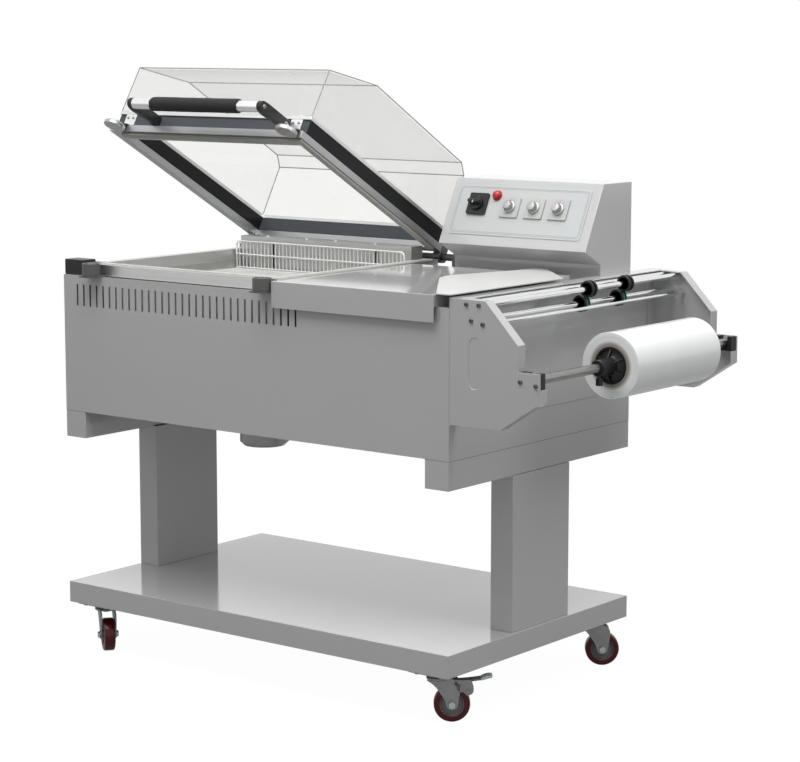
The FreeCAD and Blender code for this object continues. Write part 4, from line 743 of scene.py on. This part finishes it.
# %% Foam sleeve
GRIP_LENGTH = 251
stations = [(15.5 - 1.4 * math.exp(-t / 1.6) - 1.4 * math.exp(-(GRIP_LENGTH - t) / 1.6), t)
            for t in [0, 0.8, 2, 4] + [7 + 7 * i for i in range(34)] + [247, 249, 250.2, 251]]
sleeve = turned([(12.2, 0)] + stations + [(12.2, GRIP_LENGTH)], 40)
for vert in sleeve.verts:
    wobble = noise.noise(Vector(vert.co) * 0.035) + 0.5 * noise.noise(Vector(vert.co) * 0.16)
    if vert.co.to_2d().length > 13:
        vert.co.x *= 1 + 0.022 * wobble
        vert.co.y *= 1 + 0.022 * wobble
    vert.co.z += 1.6 * noise.noise(Vector((vert.co.x, vert.co.y, 3)) * 0.12) * (
        1 - min(1, min(vert.co.z, GRIP_LENGTH - vert.co.z) / 12))
grip = finished("foam_grip", sleeve, HANDLE @ at(248, 0, 0) @ ALONG_X, "hood", FOAM,
                ["handle_grip"], smooth=60)
print("grip", [round(value, 4) for value in grip.dimensions])

# %% [markdown]
# ## Magnets and their armature discs
# Two electromagnets hold the hood shut. Each is an iron pot with a central pole, and the gap
# between them is filled with resin. The discs on the hood sit on a short black spring strap,
# which lets them lie flat on the magnets.

# %% Electromagnets
pots = bmesh.new()
resin = bmesh.new()
for x in (101, 603):
    pot = turned([(0, 0), (19.2, 0), (20, 0.8), (20, 27.2), (19.3, 28), (16.4, 28), (16, 27.4),
                  (16, 25.6), (9.6, 25.6), (9.6, 27.4), (9.2, 28), (3.4, 28), (2.8, 24), (0, 24)], 64,
                 closed=False)
    put(pots, pot, at(x, -14, 859))
    shoe = cut_out([(-20, -20, 3), (20, -20, 3), (20, 26, 0), (-20, 26, 0)], 3)
    put(pots, soften(shoe, 0.6), at(x, -14, 856))
    put(resin, turned([(9.6, 25.4), (16, 25.4), (16, 26.6), (9.6, 26.6)], 64), at(x, -14, 859))
finished("magnet_pots", pots, MACHINE, "root", IRON, ["electromagnets"])
finished("magnet_resin", resin, MACHINE, "root", BLACK)

# %% Armature discs and their straps
discs = bmesh.new()
straps = bmesh.new()
disc_screws = bmesh.new()
STRAP = [(-562, 21.4, 0), (-562, 25, 0), (-578, 23.5, 8), (-598, 15.6, 8), (-611, 14.6, 1.5),
         (-611, 11.6, 1.5), (-596, 11.6, 8), (-578, 19.5, 8)]
for x in (101, 603):
    disc = turned([(0, 1.3), (22.4, 1.3), (24, 2.6), (24, 9), (22, 11.3), (0, 11.3)], 64, closed=False)
    put(discs, disc, at(x, -604, 0))
    strip = soften(cut_out(STRAP, 22, 4), 0.7)
    put(straps, strip, at(x - 11, 0, 0) @ Matrix.Rotation(math.radians(90), 4, "Z") @ UPRIGHT)
    put(disc_screws, hex_head(6, 4), at(x, -604, 14.4))
finished("armature_plates", discs, HOOD, "hood", RAIL, ["armature_discs"])
finished("disc_straps", straps, HOOD, "hood", BLACK)
finished("disc_screws", disc_screws, HOOD, "hood", ZINC)

# %% Corner plates of the hood
brackets = bmesh.new()
bracket_screws = bmesh.new()
for x in (84, 569):
    flat = cut_out([(0, 0, 2), (31, 0, 2), (31, 36, 2), (0, 36, 2)], 2.4)
    put(brackets, soften(flat, 0.4), at(x, -562, 27.4) @ UPRIGHT)
    for step in (8, 23):
        put(bracket_screws, pan_screw(3.4, 1.8), at(x + step, -564.4, 45) @ UPRIGHT)
finished("corner_plates", brackets, HOOD, "hood", ALUMINIUM_TUBE, ["hood_corner_brackets"])
finished("corner_plate_screws", bracket_screws, HOOD, "hood", ZINC)

# %% Edge lines of the clear cover
# Painted light and shade: the light that runs inside the sheet leaves it at folds and cut edges, which show as
# grey lines, drawn here as grey strips.
FOLDS = [(-563.2, 62.5), (-559.4, 174), (-401.6, 222.4), (-44, 218.4), (-21.6, 196.2), (-21.6, 62.5)]
cover_x = [vert.co.x / MM + 671.5 for vert in NODES["clear_cover"].data.vertices]
left, right = min(cover_x) + 1.6, max(cover_x) - 1.6
folds = bmesh.new()
for near, far in zip(FOLDS, FOLDS[1:]):
    for x in (left, right):
        put(folds, square_bar((x, *near), (x, *far), 2.2))
for y, z in FOLDS[1:5]:
    put(folds, square_bar((left, y, z), (right, y, z), 2.2))
finished("cover_edge_lines", folds, HOOD, "hood", EDGE)
print("hood dressed")

# %% Screws of the duct's lid
lid_screws = bmesh.new()
for x in (164, 286, 373, 491):
    put(lid_screws, pan_screw(5, 3), at(x, 506, 914))
finished("duct_lid_screws", lid_screws, MACHINE, "root", NUT_STEEL)

# %% [markdown]
# ## The control panel
# A silver panel holds a black rotary switch, a red lamp and three pale dials. Everything is
# modelled flat on the panel's own plane. The printed double border and the scale marks are
# real strips a tenth of a millimetre high, so they stay sharp and also show in the meshes.


# %% Printed border and scales
def border(length, width, line, corner):
    """Thin rounded frame about the origin."""
    bm = round_plate(length, width, 0.12, corner, 8)
    bmesh.ops.delete(bm, geom=[face for face in bm.faces if face.normal.z < -0.5], context="FACES_ONLY")
    top = [face for face in bm.faces if face.normal.z > 0.5]
    inner = bmesh.ops.inset_region(bm, faces=top, thickness=line, use_even_offset=True)
    hole = [face for face in bm.faces if face.normal.z > 0.5 and face not in inner["faces"]]
    bmesh.ops.delete(bm, geom=hole, context="FACES")
    return bm


PANEL_MIDDLE = (883, -75)
lines = bmesh.new()
for inset, line in ((4.5, 0.6), (7.5, 0.45)):
    put(lines, border(350 - 2 * inset, 118 - 2 * inset, line, 8 - inset / 4),
        at(PANEL_MIDDLE[0], PANEL_MIDDLE[1], 1.5))
finished("panel_border", lines, PANEL, "root", BLUE_GREY_INK)

# %% Dials
DIALS = (858, 922, 986)
plates = bmesh.new()
marks = bmesh.new()
for x in DIALS:
    base = soften(round_plate(48, 48, 4, 3), 0.5)
    put(plates, base, at(x, -66, 1.5))
    put(plates, turned([(15.4, 5.5), (16.6, 5.5), (16.6, 5.75), (15.4, 5.75)], 48), at(x, -66, 0))
    for step in range(11):
        angle = math.radians(240 - 30 * step)
        tick = round_plate(3.2 if step % 5 == 0 else 2.2, 0.55, 0.1, 0.1, 1)
        put(marks, tick, at(x, -66, 5.5) @ Matrix.Rotation(angle, 4, "Z") @ at(19.3, 0, 0))
finished("dial_faces", plates, PANEL, "root", PALE_PLASTIC)
finished("dial_marks", marks, PANEL, "root", INK)

for number, x in enumerate(DIALS, start=1):
    knob = turned([(0, 3.4), (13.4, 3.4), (14, 4), (14, 5.6), (13.2, 6.6), (11.4, 7.2), (10.6, 8.4),
                   (9.8, 16.6), (8.6, 18), (5, 18.3), (0, 18.3)], 48, closed=False)
    for rib in range(24):
        put(knob, round_plate(0.9, 0.9, 8.4, 0.2, 1),
            Matrix.Rotation(math.tau * rib / 24, 4, "Z") @ at(10.1, 0, 8))
    finished(f"silver_knob_{number}", knob, PANEL @ at(x, -66, 2.5), f"knob_{number}",
             KNOB, [f"dial_knob_{number}"])
    pointer = put(round_plate(7, 1, 0.3, 0.2, 1), round_plate(3, 1.2, 0.3, 0.2, 1), at(8.8, 0, -11.2))
    finished(f"knob_pointer_{number}", pointer,
             PANEL @ at(x, -66, 20.6) @ Matrix.Rotation(math.radians(90), 4, "Z") @ at(5, 0, 0),
             f"knob_{number}", INK)

# %% Rotary switch
switch = soften(round_plate(50, 50, 6, 3), 0.9)
finished("switch_plate", put(bmesh.new(), switch, at(770, -62, 1.5)), PANEL, "root",
         BLACK, ["dial_plates"])
handle = turned([(0, 4.8), (15.2, 4.8), (16, 5.6), (16, 8.8), (15, 10.6), (0, 10.8)], 48, closed=False)
bar = cut_out([(-15.5, -4, 3.4), (15.5, -4, 3.4), (15.5, 4, 3.4), (-15.5, 4, 3.4)], 12.4, 5)
put(handle, soften(bar, 1.4, 3), at(0, 0, 10.4))
finished("switch_grip", handle, PANEL @ at(770, -62, 3), "selector", BLACK,
         ["switch_knob"])
finished("switch_pointer", round_plate(1.6, 6, 0.3, 0.3, 2), PANEL @ at(770, -65, 25.7),
         "selector", WHITE)

# %% Pilot lamp
bezel = turned([(9, 1.5), (11.4, 1.5), (12, 2.2), (12, 3.8), (11.2, 4.6), (9, 4.6)], 40)
finished("lamp_bezel", bezel, PANEL @ at(815, -40, 0), "root", RED_LENS, ["pilot_lamp"])
dome = turned([(0, 2)] + [(9, 2), (9.2, 8.5)] +
              [(9.2 * math.cos(a), 8.5 + 5 * math.sin(a)) for a in (0.3, 0.65, 1.0, 1.3)] + [(0, 13.5)],
              40, closed=False)
finished("lamp_dome", dome, PANEL @ at(815, -40, 0), "root", RED_LENS, smooth=60)
print("panel dressed")

# %% [markdown]
# ## The film roll and its hubs
# The roll rests on a bright shaft between two notched blocks. Its ends show the layers of
# film, so the end faces get small steps, as film never winds quite flush. Black ribbed hubs
# centre the paper core, and a star-headed screw locks each hub on the shaft.

# %% Roll and core
random.seed(7)
ROLL_PLACE = MACHINE @ at(1275, 282, 727) @ ALONG_Y
near_end = [(42 + 26 * i / 14, random.uniform(0, 0.9)) for i in range(14)]
far_end = [(42 + 26 * i / 14, 321 - random.uniform(0, 0.9)) for i in range(13, -1, -1)]
roll = turned(near_end + [(67.2, 0.2), (68, 1), (68, 160), (68, 320), (67.2, 320.8)] + far_end, 96)
finished("film_winding", roll, ROLL_PLACE, "roll", FILM, ["film_roll"], smooth=25)
core = turned([(38.2, 0.4), (41.6, 0), (42, 0.3), (42, 320.7), (41.6, 321), (38.2, 320.6)], 72)
finished("paper_core", core, ROLL_PLACE, "roll", PAPER, ["film_core"])

# %% Hubs with star screws
hubs = bmesh.new()
for place, side in ((Matrix(), 1), (at(0, 0, 321) @ Matrix.Rotation(math.pi, 4, "X"), -1)):
    hub = turned([(10.1, -48), (15.8, -48), (17, -46.8), (17, -14), (19, -3), (23, 0.6), (33, 2.2), (33.6, -0.4),
                  (37.6, -0.6), (37.9, 0.4), (37.9, 25), (36.6, 26), (33.4, 26), (33.4, 8), (22, 7),
                  (18, 26), (10.1, 26)], 64)
    for rib in range(6):
        blade = soften(cut_out([(17, -11, 1), (33.4, -0.6, 0), (33.4, 3, 0), (17, 3, 0)], 2.6), 0.5)
        put(hub, blade, Matrix.Rotation(math.tau * (rib + 0.5) / 6, 4, "Z") @ at(0, 1.3, 0) @ UPRIGHT)
    star = bmesh.new()
    bmesh.ops.create_circle(star, cap_ends=True, segments=12, radius=8.4)
    for index, vert in enumerate(list(star.verts)):
        if index % 2:
            vert.co *= 0.74
    made = bmesh.ops.extrude_face_region(star, geom=star.faces[:])
    bmesh.ops.translate(star, vec=(0, 0, 14), verts=[item for item in made["geom"]
                                                    if isinstance(item, bmesh.types.BMVert)])
    bmesh.ops.recalc_face_normals(star, faces=star.faces)
    soften(star, 1.2, 2, 20)
    put(star, turned([(0, -9), (3, -9), (4.6, 0), (0, 0)], 20, closed=False))
    lock = at(0, 0, -40) @ Matrix.Rotation(math.radians(90 * side), 4, "Z") @ at(22, 0, 0) @ ALONG_X
    put(hub, star, lock)
    put(hubs, hub, place)
finished("ribbed_hubs", hubs, ROLL_PLACE, "roll", BLACK, ["core_hubs"])
print("roll dressed")

# %% [markdown]
# ## Pin wheels and counter wheels
# Film is pulled over two wheels set with needles, which prick small air holes in it, against
# two smooth wheels with green cord rings. Each wheel is a pair of turned discs on a hub.

# %% Rollers of the film path
for name, body, x, z in (("pin", "pin_wheels", 1152, 866), ("counter", "counter_wheels", 1134, 834.5)):
    rod = turned([(0, 0), (5.6, 0), (6, 0.4), (6, 744), (5.6, 744.4), (0, 744.4)], 32, closed=False)
    finished(f"{name}_rod", rod, MACHINE @ at(x, 2.8, z) @ ALONG_Y, body, CHROME,
             [f"{name}_roller"])
    wheels = bmesh.new()
    for y in (387, 527):
        for shift in (-8, 4):
            rim = turned([(6, 0), (16.8, 0), (17.7, 0.8), (17.7, 3.2), (16.8, 4), (6, 4)], 48)
            put(wheels, rim, at(0, y, 0) @ ALONG_Y @ at(0, 0, shift))
        boss = turned([(6, -8), (13, -8), (13, 8), (11, 8), (10, 15), (9, 16), (6, 16)], 40)
        put(wheels, boss, at(0, y, 0) @ ALONG_Y)
        for pin in range(20 if name == "pin" else 0):
            needle = bmesh.new()
            bmesh.ops.create_cone(needle, cap_ends=True, segments=6, radius1=0.8, radius2=0.1, depth=6)
            put(wheels, needle, at(0, y, 0) @ Matrix.Rotation(math.tau * pin / 20, 4, "Y") @ at(0, 0, 15.6))
    finished(f"{name}_wheels", wheels, MACHINE @ at(x, 0, z), body, BLACK)

# %% Painted shadow: a dark strip where the cabinet meets its beams, standing for the shade in the joint
# painted shadow: the parts meet flush, so this thin dark bar stands for the shadow in the gap
painted_gap_shadow = bmesh.new()
for start, end in (((0.8, 1), (60, 1)), ((1020, 1), (1079, 1)), ((1079, 1), (1079, 659))):
    put(painted_gap_shadow, square_bar((*start, 547.4), (*end, 547.4), 1.8))
finished("painted_gap_shadow_line", painted_gap_shadow, MACHINE, "root", INK)

# %% Screws of the side plates
heads = bmesh.new()
for x, z in ((1122, 866), (1162, 829), (1152, 866), (1134, 834.5), (1252, 724), (1288.5, 719)):
    for y, turn in ((0, 90), (750, -90)):
        put(heads, socket_head(4.5, 3), at(x, y, z) @ Matrix.Rotation(math.radians(turn), 4, "X"))
finished("side_plate_screws", heads, MACHINE, "root", DARK_STEEL, ["plate_screws"])
print("film unit dressed")
